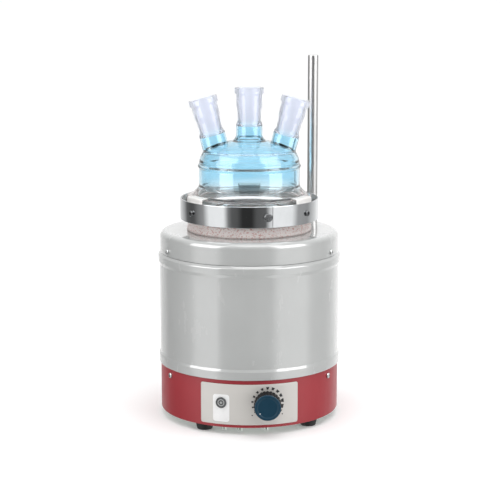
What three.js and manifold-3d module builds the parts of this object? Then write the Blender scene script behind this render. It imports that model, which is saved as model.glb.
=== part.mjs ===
// Electric laboratory heating mantle with a three-neck reaction vessel, clamp ring and support rod.
// Millimetres, +Z up, the control panel faces -Y. The origin is on the bench under the mantle's axis.
// Azimuth 0 is the front (-Y) and grows towards +X.
import * as THREE from "three";
import { mergeVertices } from "three/addons/utils/BufferGeometryUtils.js";
import Module from "manifold-3d";

const wasm = await Module();
wasm.setup();

// ---------------------------------------------------------------- clearances
const GAP = 0.3; // between pieces that rest on each other
const SHELL_FIT = 0.5; // radial, between shells that slip into each other
const SEAT_GAP = 0.7; // between a seat and the curved shell that it follows
const GLASS_FIT = 0.4; // radial, between the vessel and its heater
const HOLE_FIT = 0.35; // radial, between a screw or bush and its hole
const PAST = 1; // how far a cutting or joining piece runs past the face that it meets

// ---------------------------------------------------------------- mantle body
const BODY_R = 99.5; // grey casing, outside
const BAND_STEP = 0.6; // how far the base band and the cover stand back from the casing
const FLARE_OUT = 1.3; // casing's lower edge, outwards
const FLARE_HEIGHT = 12;
const FLARE_EDGE = { inset: 0.8, height: 1.2 }; // bevel of the lower edge
const FLARE_BLEND = 3; // height over which the flare runs out
const BEAD_OUT = 1.5; // casing's upper bead, outwards
const BEAD_HEIGHT = 13;
const BEAD_BLEND = 3.5; // height over which the bead swells
const BEAD_EDGE = { inset: 0.6, height: 3 }; // from the bead down to the seam
const NECK_BLEND = 2; // inside, where the wall turns in to the neck
const SHEET = 1.2; // casing and cover sheet
const BAND_WALL = 1.5; // base band sheet
const BAND_HEIGHT = 52;
const CASING_HEIGHT = 123.7;
const COVER_HEIGHT = 23.2;
const COVER_EDGE_R = 6.5;
const NECK_HEIGHT = 11; // how far the casing laps inside the cover
const BAND_FLANGE = 18; // width of the band's turned-in bottom flange
const PLATE = 1.5; // bottom plate
const SHIELD = 1.2; // heat shield
const SHIELD_OPENING_R = 12; // for the heater's leads

// ---------------------------------------------------------------- feet and screws
const FOOT_HEIGHT = 7.7;
const FOOT_R = 9.5;
const FOOT_TAPER = { inset: 1.2, part: 0.7 }; // towards the floor, over part of the height
const FOOT_HEADROOM = 2.4; // floor to the screw's head
const FOOT_INSET = 12.4; // centre, in from the band's outside
const FOOT_AZIMUTHS = [-34, 48, 146, 228];
const FOOT_NAMES = ["front_left", "front_right", "rear_right", "rear_left"];
const SCREW_R = 1.6; // shank of the sheet screws
const SCREW_HEAD_R = 3;
const SCREW_HEAD = 1.9;
const HEAD_BEVEL = { height: 0.5, radius: 0.72 }; // shares of a screw head's height and radius
const SCREW_LENGTH = 8; // feet and bottom plate
const SIDE_SCREW_LENGTH = 4.2; // cover and band
const SIDE_SCREW_ROOM = 2; // between the inner sheet and the insulation
const PLATE_SCREW_AZIMUTHS = [-18, -6.5, 12];
const PLATE_SCREW_INSET = 10.9; // centre, in from the band's outside
const PLATE_SCREW_HEAD = 5.2;
const COVER_SCREW_AZIMUTHS = [-63, 63, 117, -117];
const COVER_SCREW_RISE = 5; // above the cover's lower edge
const BASE_SCREW_AZIMUTHS = [-60, 60, 120, -120];
const BASE_SCREW_DROP = 7; // below the band's upper edge

// ---------------------------------------------------------------- control panel
const PANEL_HALF_ANGLE = 31.3;
const PANEL_MARGIN = { top: 4, bottom: 3.5 }; // to the band's edges
const PANEL = 1;
const KNOB_X = 19.5;
const CONTROL_RISE = 1.5; // control centre, above the middle of the band
const KNOB_R = 14.6;
const KNOB_FLUTES = 24;
const KNOB_FLUTE_DEPTH = 0.7;
const KNOB_DEPTH = 14;
const KNOB_CAP_R = 14;
const KNOB_CAP = 2;
const KNOB_CAP_BEVEL = 0.7;
const KNOB_LIFT = 3.2; // knob's back face, in front of the panel
const KNOB_RECESS_R = 9.5;
const KNOB_RECESS = 4.5;
const SHAFT_R = 3;
const BUSH_R = 4.75;
const POT_R = 8;
const POT_DEPTH = 10;
const POT_HEADROOM = 2.8; // under the part of the casing that laps inside the band
const SHAFT_IN_CAP = 11.5; // shaft's front end, ahead of the knob's back face
const BUSH_IN_KNOB = 3.2; // bush's front end, inside the knob's recess
const NUT_R = 7;
const NUT = 2.3;
const BADGE_X = -30;
const BADGE_R = 5.9;
const BADGE = 0.8;

// ---------------------------------------------------------------- controller inside the base
const BOARD = { x: -20, y: -5, width: 70, depth: 80, thickness: 1.6 };
const SPACER_R = 3;
const SPACER_HEIGHT = 8;
const SPACER_INSET = 6;
const SINK = { x: -38, y: 8, width: 26, depth: 34, height: 25, fins: 5, fin: 2, base: 4 };
const TERMINAL = { x: -2, y: 18, width: 18, depth: 30, height: 11, ways: 4, well: 5, wellDepth: 5 };
const POST_R = 4;
const POST_CIRCLE_R = 68;
const POST_AZIMUTHS = [90, 210, 330];
const VENT_COUNT = 8;
const VENT_WIDTH = 4;
const VENT_LENGTH = 22;
const VENT_CIRCLE_R = 40;

// ---------------------------------------------------------------- rear connection box
const BOX_WIDTH = 60;
const BOX_MARGIN = 7; // to the band's edges
const BOX_WALL = 2;
const BOX_REACH = 16.8; // rear face, behind the base band
const WINDOW_MARGIN = 1; // from the box's inside to the band's window
const INLET_X = -12;
const INLET = { width: 27, height: 19.6, depth: 20, floor: 4, wall: 1.6, bezel: 2, bezelDepth: 1.5 };
const PIN = { width: 2, height: 4, length: 13, spread: 7, drop: 2, rise: 2 };
const FUSE_X = 18;
const FUSE_R = 5.5;
const FUSE_CAP_R = 6.8;
const FUSE_DEPTH = 24;
const FUSE_SLOT = { length: 8.2, width: 1.2, depth: 0.9 };

// ---------------------------------------------------------------- heater and insulation
const JACKET_WALL = 6.1;
const COLLAR_OUT = 1.5; // collar lip, beyond the jacket
const COLLAR_HEIGHT = 11.2;
const COLLAR_TAPER = { inset: 3, height: 7.5 }; // the collar draws in under the clamp ring
const JACKET_FIT = 0.7; // radial, between the jacket and the insulation and cover
const BED = 17.5; // insulation under the jacket

// ---------------------------------------------------------------- glass
const VESSEL_R = 61;
const GLASS_WALL = 3;
const FLANGE_REACH = 7.5; // beyond the vessel's wall
const FLANGE = 9;
const FLANGE_RISE = 7; // vessel flange's underside, above the collar
const FLANGE_ROOT = { width: 1, height: 1.5 }; // fillet under the vessel's flange
const GASKET = 1.6;
const GASKET_WIDTH = 7;
const GASKET_INSET = 2.5; // behind the flange's edge
const LID_R = 55.5;
const LID_CONE = 9.5;
const LID_WALL_HEIGHT = 25;
const LID_BEAD = { reach: 1.6, height: 5 }; // round the top of the lid's wall
const DOME_HEIGHT = 27;
const DOME_SHOULDER = 5.5; // in from the lid's wall
const DOME_SHOULDER_DROP = 11.5; // below the top of the dome
const DOME_ROOT = { inset: 1, height: 6 }; // where the wall starts to turn in
const SIDE_NECK_INSET = 17.7; // axis at the dome, in from the lid's wall
const SIDE_NECK_TILT = 14.7;
const SIDE_NECK_LENGTH = 53.1;
const CENTRE_NECK_LENGTH = 56.5;
const SOCKET = { mouthR: 12, rootR: 10, length: 40, rimR: 16.1, rim: 6 };
const NECK = {
  topR: 14.2,
  waistR: 12.7,
  waistTop: 26.8, // below the rim
  waistBottom: 36.8,
  shoulder: 1, // below the socket, down to the full tube
  tubeR: 14.5,
  wall: 2.1,
  flareR: 17.5, // centre neck's foot
  flare: 3,
  root: 8, // outside of the tube, on down into the dome
  rimBlend: 2,
};

// ---------------------------------------------------------------- clamp ring
const CLAMP_SPACE = 6.5; // between the flange and the band, for the claws
const CLAMP_WALL = 1.5;
const CLAMP_HEIGHT = 22.8;
const CLAMP_DROP = 5.5; // clamp's lower edge, below the vessel flange's underside
const CLAW_AZIMUTHS = [-54, 54, 180];
const CLAW_NAMES = ["left", "right", "rear"];
const CLAW_WIDTH = 28;
const CLAW_SHEET = 2.2;
const CLAW_BITE = 4; // how far a claw reaches over the flange
const CLOSING_AZIMUTH = 15;
const CLOSING_HEAD_R = 4.6;
const CLOSING_HEAD = 2.6;
const CLOSING_SLOT = { width: 1, depth: 1 };
const CLOSING_SHANK_R = 2;
const LAP_HALF_ANGLE = 11; // closing lap, either side of its screw
const SLIT_ANGLE = 0.5;

// ---------------------------------------------------------------- support rod
const ROD_R = 6;
const ROD_LENGTH = 376.4;
const ROD_CHAMFER = 1;
const ROD_AZIMUTH = 138.7;
const ROD_GAP = 3.5; // between the rod and the casing's bead
const ROD_SOCKET_R = 10.2;
const ROD_SOCKET_FLOOR = 4;
const ROD_SOCKET_MARGIN = { top: 4, bottom: 6 }; // to the band's edges
const ROD_BRIDGE_WIDTH = 14;
const ROD_FIT = 0.35;
const STUD_R = 3.5;
const STUD_RISE = 16; // above the band's lower edge
const STUD_NUT_R = 7;
const STUD_NUT = 4;
const STUD_END = 2.6; // beyond the nut
const NUT_SEAT = 1.4; // flat nut to the band's round inside
const THUMB_R = 2.5;
const THUMB_KNOB_R = 7.5;
const THUMB_KNOB = 9;
const THUMB_NECK = 4;
const THUMB_LOBES = 6;
const THUMB_LOBE_DEPTH = 1.6;
const THUMB_DROP = 10; // below the socket's mouth

// ---------------------------------------------------------------- facets
const BIG = 36;
const MEDIUM = 20;
const SMALL = 8;
const BOWL_STEPS = 6;
const EDGE_STEPS = 4;
const DOME_STEPS = 4;
const LAP_STEPS = 6;
const FLUTE_STEPS = 4;
const LOBE_STEPS = 6;

// ---------------------------------------------------------------- levels and radii that follow
const bandR = BODY_R - BAND_STEP;
const bandInnerR = bandR - BAND_WALL;
const lapR = bandInnerR - SHELL_FIT;
const coverR = BODY_R - BAND_STEP;
const neckR = coverR - SHEET - SHELL_FIT;
const flareR = BODY_R + FLARE_OUT;
const beadR = BODY_R + BEAD_OUT;
const bandBottom = FOOT_HEIGHT + GAP;
const bandTop = bandBottom + BAND_HEIGHT;
const casingBottom = bandTop + GAP;
const seam = casingBottom + CASING_HEIGHT;
const coverBottom = seam + GAP;
const coverTop = coverBottom + COVER_HEIGHT;
const plateTop = bandBottom + PLATE;
const bandFlangeTop = plateTop + GAP + BAND_WALL;
const shieldBottom = casingBottom + SHEET + GAP;
const shieldTop = shieldBottom + SHIELD;
const bandMiddle = (bandBottom + bandTop) / 2;
const controlZ = bandMiddle + CONTROL_RISE;
const lapBottom = controlZ + POT_R + POT_HEADROOM;
const footCircleR = bandR - FOOT_INSET;
const plateScrewCircleR = bandR - PLATE_SCREW_INSET;
const panelInnerR = bandR + GAP;
const panelR = panelInnerR + PANEL;
const collarTop = coverTop + GAP + COLLAR_HEIGHT;
const vesselBottom = shieldTop + GAP + BED + JACKET_FIT + JACKET_WALL + GLASS_FIT;
const bowlZ = vesselBottom + VESSEL_R; // centre of the round bottom
const jacketInnerR = VESSEL_R + GLASS_FIT;
const jacketR = jacketInnerR + JACKET_WALL;
const collarR = jacketR + COLLAR_OUT;
const coverHoleR = jacketR + JACKET_FIT;
const insulationR = neckR - SHEET - SIDE_SCREW_ROOM;
const flangeR = VESSEL_R + FLANGE_REACH;
const vesselFlangeBottom = collarTop + FLANGE_RISE;
const vesselFlangeTop = vesselFlangeBottom + FLANGE;
const gasketBottom = vesselFlangeTop + GAP;
const gasketR = flangeR - GASKET_INSET;
const lidBottom = gasketBottom + GASKET + GAP;
const lidFlangeTop = lidBottom + FLANGE;
const lidConeTopR = flangeR - CLAW_BITE - SHELL_FIT; // leaves the flange a flat for the claws
const lidWallBottom = lidFlangeTop + LID_CONE;
const lidWallTop = lidWallBottom + LID_WALL_HEIGHT;
const domeTop = lidWallTop + DOME_HEIGHT;
const domeShoulderR = LID_R - DOME_SHOULDER;
const sideNeckX = LID_R - SIDE_NECK_INSET;
const clampBottom = vesselFlangeBottom - CLAMP_DROP;
const clampTop = clampBottom + CLAMP_HEIGHT;
const clampMiddle = (clampBottom + clampTop) / 2;
const clampInnerR = flangeR + CLAMP_SPACE;
const clampR = clampInnerR + CLAMP_WALL;
const rodAxisR = beadR + ROD_GAP + ROD_R;
const rodSocketBottom = bandBottom + ROD_SOCKET_MARGIN.bottom;
const rodSocketTop = bandTop - ROD_SOCKET_MARGIN.top;
const rodBottom = rodSocketBottom + ROD_SOCKET_FLOOR + GAP;
const studZ = bandBottom + STUD_RISE;
const thumbZ = rodSocketTop - THUMB_DROP;
const baseScrewZ = bandTop - BASE_SCREW_DROP;
const coverScrewZ = coverBottom + COVER_SCREW_RISE;
const boxRear = bandR + BOX_REACH;

// ---------------------------------------------------------------- solids
const radians = THREE.MathUtils.degToRad;

// A geometry as a manifold solid, without the slivers that a lathe leaves on its axis.
function solid(geometry) {
  const bare = geometry.clone();
  bare.deleteAttribute("normal");
  bare.deleteAttribute("uv");
  const merged = mergeVertices(bare, 1e-4);
  const corners = [];
  for (let i = 0; i < merged.index.count; i += 3) {
    const [a, b, c] = merged.index.array.slice(i, i + 3);
    if (a !== b && b !== c && c !== a) corners.push(a, b, c);
  }
  const vertProperties = merged.attributes.position.array;
  const triVerts = new Uint32Array(corners);
  return new wasm.Manifold(new wasm.Mesh({ numProp: 3, vertProperties, triVerts }));
}

function geometryOf(body) {
  const { vertProperties, triVerts, numProp } = body.getMesh();
  const geometry = new THREE.BufferGeometry();
  const positions = new THREE.InterleavedBuffer(vertProperties, numProp);
  geometry.setAttribute("position", new THREE.InterleavedBufferAttribute(positions, 3, 0));
  geometry.setIndex(new THREE.BufferAttribute(triVerts, 1));
  const flat = geometry.toNonIndexed();
  flat.computeVertexNormals();
  return flat;
}

function cut(body, ...tools) {
  return geometryOf(tools.reduce((rest, tool) => rest.subtract(solid(tool)), solid(body)));
}

function join(body, ...others) {
  return geometryOf(others.reduce((all, other) => all.add(solid(other)), solid(body)));
}

function common(body, other) {
  return geometryOf(solid(body).intersect(solid(other)));
}

// A solid of revolution about Z. The profile is a list of [radius, z] that runs up the outside.
function turned(profile, sides) {
  const points = profile.map(([r, z]) => new THREE.Vector2(r, z));
  return new THREE.LatheGeometry(points, sides).rotateX(Math.PI / 2);
}

const closed = (profile) => [...profile, profile[0]];

function disc(radius, low, high, sides) {
  return turned([[0, low], [radius, low], [radius, high], [0, high]], sides);
}

function tube(outer, inner, low, high, sides) {
  return turned(closed([[outer, low], [outer, high], [inner, high], [inner, low]]), sides);
}

function block(xLow, xHigh, yLow, yHigh, zLow, zHigh) {
  const box = new THREE.BoxGeometry(xHigh - xLow, yHigh - yLow, zHigh - zLow);
  return box.translate((xLow + xHigh) / 2, (yLow + yHigh) / 2, (zLow + zHigh) / 2);
}

// Points of an arc from one angle to another, measured from +r towards +z.
function arc(centreR, centreZ, radius, from, to, steps) {
  return Array.from({ length: steps + 1 }, (_, i) => {
    const angle = radians(from + ((to - from) * i) / steps);
    return [centreR + radius * Math.cos(angle), centreZ + radius * Math.sin(angle)];
  });
}

// An outline from a list of [u, v], extruded upwards from z = low to z = high.
function raised(outline, low, high) {
  const shape = new THREE.Shape(outline.map(([u, v]) => new THREE.Vector2(u, v)));
  return new THREE.ExtrudeGeometry(shape, { depth: high - low, bevelEnabled: false }).translate(0, 0, low);
}

// Part of a ring between two azimuths.
function sector(outer, inner, fromAzimuth, toAzimuth, low, high, steps) {
  const side = (radius) =>
    Array.from({ length: steps + 1 }, (_, i) => {
      const angle = radians(fromAzimuth + ((toAzimuth - fromAzimuth) * i) / steps);
      return [radius * Math.sin(angle), -radius * Math.cos(angle)];
    });
  return raised([...side(outer), ...side(inner).reverse()], low, high);
}

// Turns a piece made along +Z so that it points forwards (-Y), then moves it to x, y, z.
const forwards = (geometry, x, y, z) => geometry.rotateX(Math.PI / 2).translate(x, y, z);
const backwards = (geometry, x, y, z) => geometry.rotateX(-Math.PI / 2).translate(x, y, z);

// A pin that runs forwards from y = -inner to y = -outer, turned to an azimuth.
function radialPin(radius, inner, outer, z, azimuth, sides) {
  return forwards(disc(radius, inner, outer, sides), 0, 0, z).rotateZ(radians(azimuth));
}

function screwProfile(shankR, headR, head, length) {
  return [
    [0, -length],
    [shankR, -length],
    [shankR, 0],
    [headR, 0],
    [headR, head * HEAD_BEVEL.height],
    [headR * HEAD_BEVEL.radius, head],
    [0, head],
  ];
}

// A round bar from z = 0, with a bevel round its far end.
function bevelled(radius, length, bevel) {
  return [[0, 0], [radius, 0], [radius, length - bevel], [radius - bevel, length], [0, length]];
}

function hexNut(radius, height, screwR, sides) {
  return cut(disc(radius, 0, height, 6), disc(screwR + HOLE_FIT, -PAST, height + PAST, sides));
}

// A circle with lobes, as the outline of a fluted or lobed grip.
function lobedOutline(radius, depth, count, pointsEach) {
  const total = count * pointsEach;
  return Array.from({ length: total }, (_, i) => {
    const angle = (2 * Math.PI * i) / total;
    const r = radius - (depth * (1 - Math.cos(count * angle))) / 2;
    return [r * Math.cos(angle), r * Math.sin(angle)];
  });
}

// ---------------------------------------------------------------- scene
const mantle = new THREE.Group();

const LOOKS = {
  redPaint: { color: 0xa8434b, roughness: 0.45, metalness: 0.1 },
  greyPaint: { color: 0xc9cccb, roughness: 0.5, metalness: 0.1 },
  rubber: { color: 0x17181a, roughness: 0.85, metalness: 0 },
  zinc: { color: 0xb9bdb8, roughness: 0.35, metalness: 0.9 },
  steel: { color: 0xc4c8cb, roughness: 0.2, metalness: 1 },
  polished: { color: 0xd8dcde, roughness: 0.08, metalness: 1 },
  panel: { color: 0xd9d4cd, roughness: 0.5, metalness: 0.3 },
  blackPlastic: { color: 0x1b1c1f, roughness: 0.5, metalness: 0 },
  bluePlastic: { color: 0x184257, roughness: 0.35, metalness: 0 },
  board: { color: 0x2f6b45, roughness: 0.5, metalness: 0 },
  aluminium: { color: 0xb8bbbd, roughness: 0.4, metalness: 1 },
  greenPlastic: { color: 0x3f8a5c, roughness: 0.5, metalness: 0 },
  wool: { color: 0xd8d2c0, roughness: 1, metalness: 0 },
  weave: { color: 0xd3cbc6, roughness: 0.9, metalness: 0 },
  glass: { color: 0xcfe3ec, roughness: 0.05, metalness: 0, transparent: true, opacity: 0.4 },
  silicone: { color: 0xe6e2da, roughness: 0.6, metalness: 0 },
};

function add(name, look, geometry) {
  const mesh = new THREE.Mesh(geometry, new THREE.MeshStandardMaterial(LOOKS[look]));
  mesh.name = name;
  mantle.add(mesh);
  return mesh;
}

function place(mesh, radius, azimuth, z) {
  const angle = radians(azimuth);
  mesh.position.set(radius * Math.sin(angle), -radius * Math.cos(angle), z);
  mesh.rotation.z = angle;
}

// Holes straight up through the bottom plate and the band's flange.
function bottomHoles() {
  const at = (azimuth, radius) => {
    const pin = disc(SCREW_R + HOLE_FIT, bandBottom - PAST, bandFlangeTop + PAST, SMALL);
    return pin.translate(0, -radius, 0).rotateZ(radians(azimuth));
  };
  return [
    ...FOOT_AZIMUTHS.map((azimuth) => at(azimuth, footCircleR)),
    ...PLATE_SCREW_AZIMUTHS.map((azimuth) => at(azimuth, plateScrewCircleR)),
  ];
}

function addBottomPlate() {
  const vents = Array.from({ length: VENT_COUNT }, (_, i) => {
    const halfX = VENT_WIDTH / 2;
    const halfY = VENT_LENGTH / 2;
    const slot = block(-halfX, halfX, -halfY, halfY, bandBottom - PAST, plateTop + PAST);
    return slot.translate(0, -VENT_CIRCLE_R, 0).rotateZ((2 * Math.PI * i) / VENT_COUNT);
  });
  add("bottom_plate", "zinc", cut(disc(lapR, bandBottom, plateTop, BIG), ...bottomHoles(), ...vents));
}

function addBaseBand() {
  const lipR = bandInnerR - BAND_FLANGE;
  const shell = turned(
    closed([
      [bandR, bandBottom],
      [bandR, bandTop],
      [bandInnerR, bandTop],
      [bandInnerR, bandFlangeTop],
      [lipR, bandFlangeTop],
      [lipR, plateTop + GAP],
      [bandInnerR, plateTop + GAP],
      [bandInnerR, bandBottom],
    ]),
    BIG,
  );
  const screwHoles = BASE_SCREW_AZIMUTHS.map((azimuth) => baseScrewHole(azimuth));
  const bushHole = forwards(disc(BUSH_R + HOLE_FIT, 0, bandR + PAST, MEDIUM), KNOB_X, 0, controlZ);
  const studHole = wallHole(STUD_R, bandInnerR, bandR, studZ, ROD_AZIMUTH);
  const window = boxSpace(BOX_WALL + WINDOW_MARGIN);
  add("base_band", "redPaint", cut(shell, ...bottomHoles(), ...screwHoles, bushHole, studHole, window));
}

// A round hole straight through the walls that lie between two radii, with room for its screw.
function wallHole(screwR, innerR, outerR, z, azimuth) {
  return radialPin(screwR + HOLE_FIT, innerR - 2 * PAST, outerR + 2 * PAST, z, azimuth, SMALL);
}

function baseScrewHole(azimuth) {
  return wallHole(SCREW_R, lapR - SHEET, bandR, baseScrewZ, azimuth);
}

function coverScrewHole(azimuth) {
  return wallHole(SCREW_R, neckR - SHEET, coverR, coverScrewZ, azimuth);
}

function addFeet() {
  const screwR = SCREW_R + HOLE_FIT;
  const recessR = SCREW_HEAD_R + HOLE_FIT;
  const recess = FOOT_HEADROOM + SCREW_HEAD + GAP;
  const profile = closed([
    [FOOT_R - FOOT_TAPER.inset, 0],
    [FOOT_R, FOOT_HEIGHT * FOOT_TAPER.part],
    [FOOT_R, FOOT_HEIGHT],
    [screwR, FOOT_HEIGHT],
    [screwR, recess],
    [recessR, recess],
    [recessR, 0],
  ]);
  const screw = screwProfile(SCREW_R, SCREW_HEAD_R, SCREW_HEAD, SCREW_LENGTH);
  FOOT_AZIMUTHS.forEach((azimuth, i) => {
    place(add("foot_" + FOOT_NAMES[i], "rubber", turned(profile, MEDIUM)), footCircleR, azimuth, 0);
    const upwards = turned(screw, SMALL).rotateX(Math.PI);
    place(add("foot_screw_" + FOOT_NAMES[i], "zinc", upwards), footCircleR, azimuth, recess - GAP);
  });
}

function addPlateScrews() {
  const screw = screwProfile(SCREW_R, SCREW_HEAD_R, PLATE_SCREW_HEAD, SCREW_LENGTH);
  PLATE_SCREW_AZIMUTHS.forEach((azimuth, i) => {
    const mesh = add("plate_screw_" + (i + 1), "zinc", turned(screw, SMALL).rotateX(Math.PI));
    place(mesh, plateScrewCircleR, azimuth, bandBottom - GAP);
  });
}

function addCasing() {
  const flareTop = casingBottom + FLARE_HEIGHT;
  const beadLow = seam - BEAD_HEIGHT;
  const innerR = BODY_R - SHEET;
  const shell = turned(
    closed([
      [lapR, lapBottom],
      [lapR, casingBottom],
      [flareR - FLARE_EDGE.inset, casingBottom],
      [flareR, casingBottom + FLARE_EDGE.height],
      [flareR, flareTop - FLARE_BLEND],
      [BODY_R, flareTop],
      [BODY_R, beadLow],
      [beadR, beadLow + BEAD_BLEND],
      [beadR, seam - BEAD_EDGE.height],
      [BODY_R - BEAD_EDGE.inset, seam],
      [neckR, seam],
      [neckR, seam + NECK_HEIGHT],
      [neckR - SHEET, seam + NECK_HEIGHT],
      [neckR - SHEET, seam - SHEET],
      [innerR, seam - SHEET - NECK_BLEND],
      [innerR, casingBottom + SHEET],
      [lapR - SHEET, casingBottom + SHEET],
      [lapR - SHEET, lapBottom],
    ]),
    BIG,
  );
  const holes = [...BASE_SCREW_AZIMUTHS.map(baseScrewHole), ...COVER_SCREW_AZIMUTHS.map(coverScrewHole)];
  add("casing", "greyPaint", cut(shell, ...holes));
}

function addTopCover() {
  const edgeR = coverR - COVER_EDGE_R;
  const edgeZ = coverTop - COVER_EDGE_R;
  const shell = turned(
    closed([
      [coverR, coverBottom],
      ...arc(edgeR, edgeZ, COVER_EDGE_R, 0, 90, EDGE_STEPS),
      [coverHoleR, coverTop],
      [coverHoleR, coverTop - SHEET],
      ...arc(edgeR, edgeZ, COVER_EDGE_R - SHEET, 90, 0, EDGE_STEPS),
      [coverR - SHEET, coverBottom],
    ]),
    BIG,
  );
  add("top_cover", "greyPaint", cut(shell, ...COVER_SCREW_AZIMUTHS.map(coverScrewHole)));
}

function addSideScrews(name, azimuths, radius, z) {
  const profile = screwProfile(SCREW_R, SCREW_HEAD_R, SCREW_HEAD, SIDE_SCREW_LENGTH);
  azimuths.forEach((azimuth, i) => {
    const screw = turned(profile, SMALL).rotateX(Math.PI / 2);
    place(add(name + "_" + (i + 1), "steel", screw), radius, azimuth, z);
  });
}

// Where the panel's outside lies at a distance x from the middle.
const panelY = (x) => -Math.sqrt(panelR ** 2 - x ** 2);

function addPanel() {
  const low = bandBottom + PANEL_MARGIN.bottom;
  const top = bandTop - PANEL_MARGIN.top;
  const plate = sector(panelR, panelInnerR, -PANEL_HALF_ANGLE, PANEL_HALF_ANGLE, low, top, MEDIUM);
  const bushHole = forwards(disc(BUSH_R + HOLE_FIT, 0, panelR + PAST, MEDIUM), KNOB_X, 0, controlZ);
  add("control_panel", "panel", cut(plate, bushHole));
  const azimuth = THREE.MathUtils.radToDeg(Math.asin(BADGE_X / panelR));
  const badge = disc(BADGE_R, 0, BADGE, MEDIUM).rotateX(Math.PI / 2);
  place(add("panel_badge", "blackPlastic", badge), panelR + GAP, azimuth, controlZ);
}

function addPowerControl() {
  const knobBack = panelY(KNOB_X) - KNOB_LIFT;
  const potFront = -Math.sqrt(bandInnerR ** 2 - (KNOB_X + POT_R) ** 2) + SHELL_FIT;
  const bushEnd = knobBack - BUSH_IN_KNOB;
  const bush = disc(BUSH_R, -POT_DEPTH / 4, potFront - bushEnd, MEDIUM);
  const can = disc(POT_R, -POT_DEPTH, 0, MEDIUM);
  const shaftWay = disc(SHAFT_R + HOLE_FIT, -POT_DEPTH / 2, potFront - bushEnd + PAST, MEDIUM);
  const pot = cut(join(can, bush), shaftWay);
  add("potentiometer", "aluminium", pot.rotateX(Math.PI / 2)).position.set(KNOB_X, potFront, controlZ);
  const nut = hexNut(NUT_R, NUT, BUSH_R, MEDIUM);
  const nutBack = panelY(KNOB_X - NUT_R) - GAP;
  add("potentiometer_nut", "zinc", nut.rotateX(Math.PI / 2)).position.set(KNOB_X, nutBack, controlZ);
  const shaftEnd = potFront + POT_DEPTH / 2 - SHELL_FIT;
  const shaftFront = knobBack - SHAFT_IN_CAP;
  const shaft = disc(SHAFT_R, 0, shaftEnd - shaftFront, MEDIUM).rotateX(Math.PI / 2);
  add("potentiometer_shaft", "steel", shaft).position.set(KNOB_X, shaftEnd, controlZ);
  addKnob(knobBack, knobBack - shaftFront);
}

// The knob stands on the end of the shaft: a fluted skirt with a coloured cap.
function addKnob(knobBack, shaftReach) {
  const skirt = raised(lobedOutline(KNOB_R, KNOB_FLUTE_DEPTH, KNOB_FLUTES, FLUTE_STEPS), 0, KNOB_DEPTH);
  const recess = disc(KNOB_RECESS_R, -PAST, KNOB_RECESS, MEDIUM);
  const bore = disc(SHAFT_R + HOLE_FIT, -PAST, shaftReach + GAP, MEDIUM);
  const body = cut(skirt, recess, bore).rotateX(Math.PI / 2);
  add("control_knob", "blackPlastic", body).position.set(KNOB_X, knobBack, controlZ);
  const cap = turned(bevelled(KNOB_CAP_R, KNOB_CAP, KNOB_CAP_BEVEL), MEDIUM);
  const capBack = knobBack - KNOB_DEPTH - GAP;
  add("knob_cap", "bluePlastic", cap.rotateX(Math.PI / 2)).position.set(KNOB_X, capBack, controlZ);
}

function addController() {
  const boardBottom = plateTop + GAP + SPACER_HEIGHT + GAP;
  const boardTop = boardBottom + BOARD.thickness;
  const left = BOARD.x - BOARD.width / 2;
  const right = BOARD.x + BOARD.width / 2;
  const front = BOARD.y - BOARD.depth / 2;
  const back = BOARD.y + BOARD.depth / 2;
  add("controller_board", "board", block(left, right, front, back, boardBottom, boardTop));
  const corners = [[left, front], [right, front], [BOARD.x, back]];
  corners.forEach(([x, y], i) => {
    const inX = x + Math.sign(BOARD.x - x) * SPACER_INSET;
    const inY = y + Math.sign(BOARD.y - y) * SPACER_INSET;
    const spacer = disc(SPACER_R, 0, SPACER_HEIGHT, SMALL);
    add("board_spacer_" + (i + 1), "zinc", spacer).position.set(inX, inY, plateTop + GAP);
  });
  addHeatSink(boardTop + GAP);
  addTerminalBlock(boardTop + GAP);
}

function addHeatSink(bottom) {
  const low = SINK.x - SINK.width / 2;
  const pitch = (SINK.width - SINK.fin) / (SINK.fins - 1);
  const back = SINK.y - SINK.depth / 2;
  const front = SINK.y + SINK.depth / 2;
  const top = bottom + SINK.height;
  const slots = Array.from({ length: SINK.fins - 1 }, (_, i) => {
    const x = low + SINK.fin + i * pitch;
    return block(x, x + pitch - SINK.fin, back - PAST, front + PAST, bottom + SINK.base, top + PAST);
  });
  const body = block(low, low + SINK.width, back, front, bottom, top);
  add("triac_heat_sink", "aluminium", cut(body, ...slots));
}

function addTerminalBlock(bottom) {
  const low = TERMINAL.y - TERMINAL.depth / 2;
  const pitch = TERMINAL.depth / TERMINAL.ways;
  const top = bottom + TERMINAL.height;
  const half = TERMINAL.width / 2;
  const well = TERMINAL.well / 2;
  const body = block(TERMINAL.x - half, TERMINAL.x + half, low, low + TERMINAL.depth, bottom, top);
  const wells = Array.from({ length: TERMINAL.ways }, (_, i) => {
    const y = low + (i + 0.5) * pitch;
    const floor = top - TERMINAL.wellDepth;
    return block(TERMINAL.x - well, TERMINAL.x + well, y - well, y + well, floor, top + PAST);
  });
  add("terminal_block", "greenPlastic", cut(body, ...wells));
}

function addShieldAndPosts() {
  const shieldR = BODY_R - SHEET - SHELL_FIT;
  add("heat_shield", "aluminium", tube(shieldR, SHIELD_OPENING_R, shieldBottom, shieldTop, BIG));
  const low = plateTop + GAP;
  POST_AZIMUTHS.forEach((azimuth, i) => {
    const post = disc(POST_R, 0, shieldBottom - GAP - low, SMALL);
    place(add("shield_post_" + (i + 1), "zinc", post), POST_CIRCLE_R, azimuth, low);
  });
}

// The inside of the connection box, which is also the band's window, without a margin at each wall.
function boxSpace(margin) {
  const half = BOX_WIDTH / 2 - margin;
  const low = bandBottom + BOX_MARGIN + margin;
  return block(-half, half, bandR / 2, boxRear - BOX_WALL, low, bandTop - BOX_MARGIN - margin);
}

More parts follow.
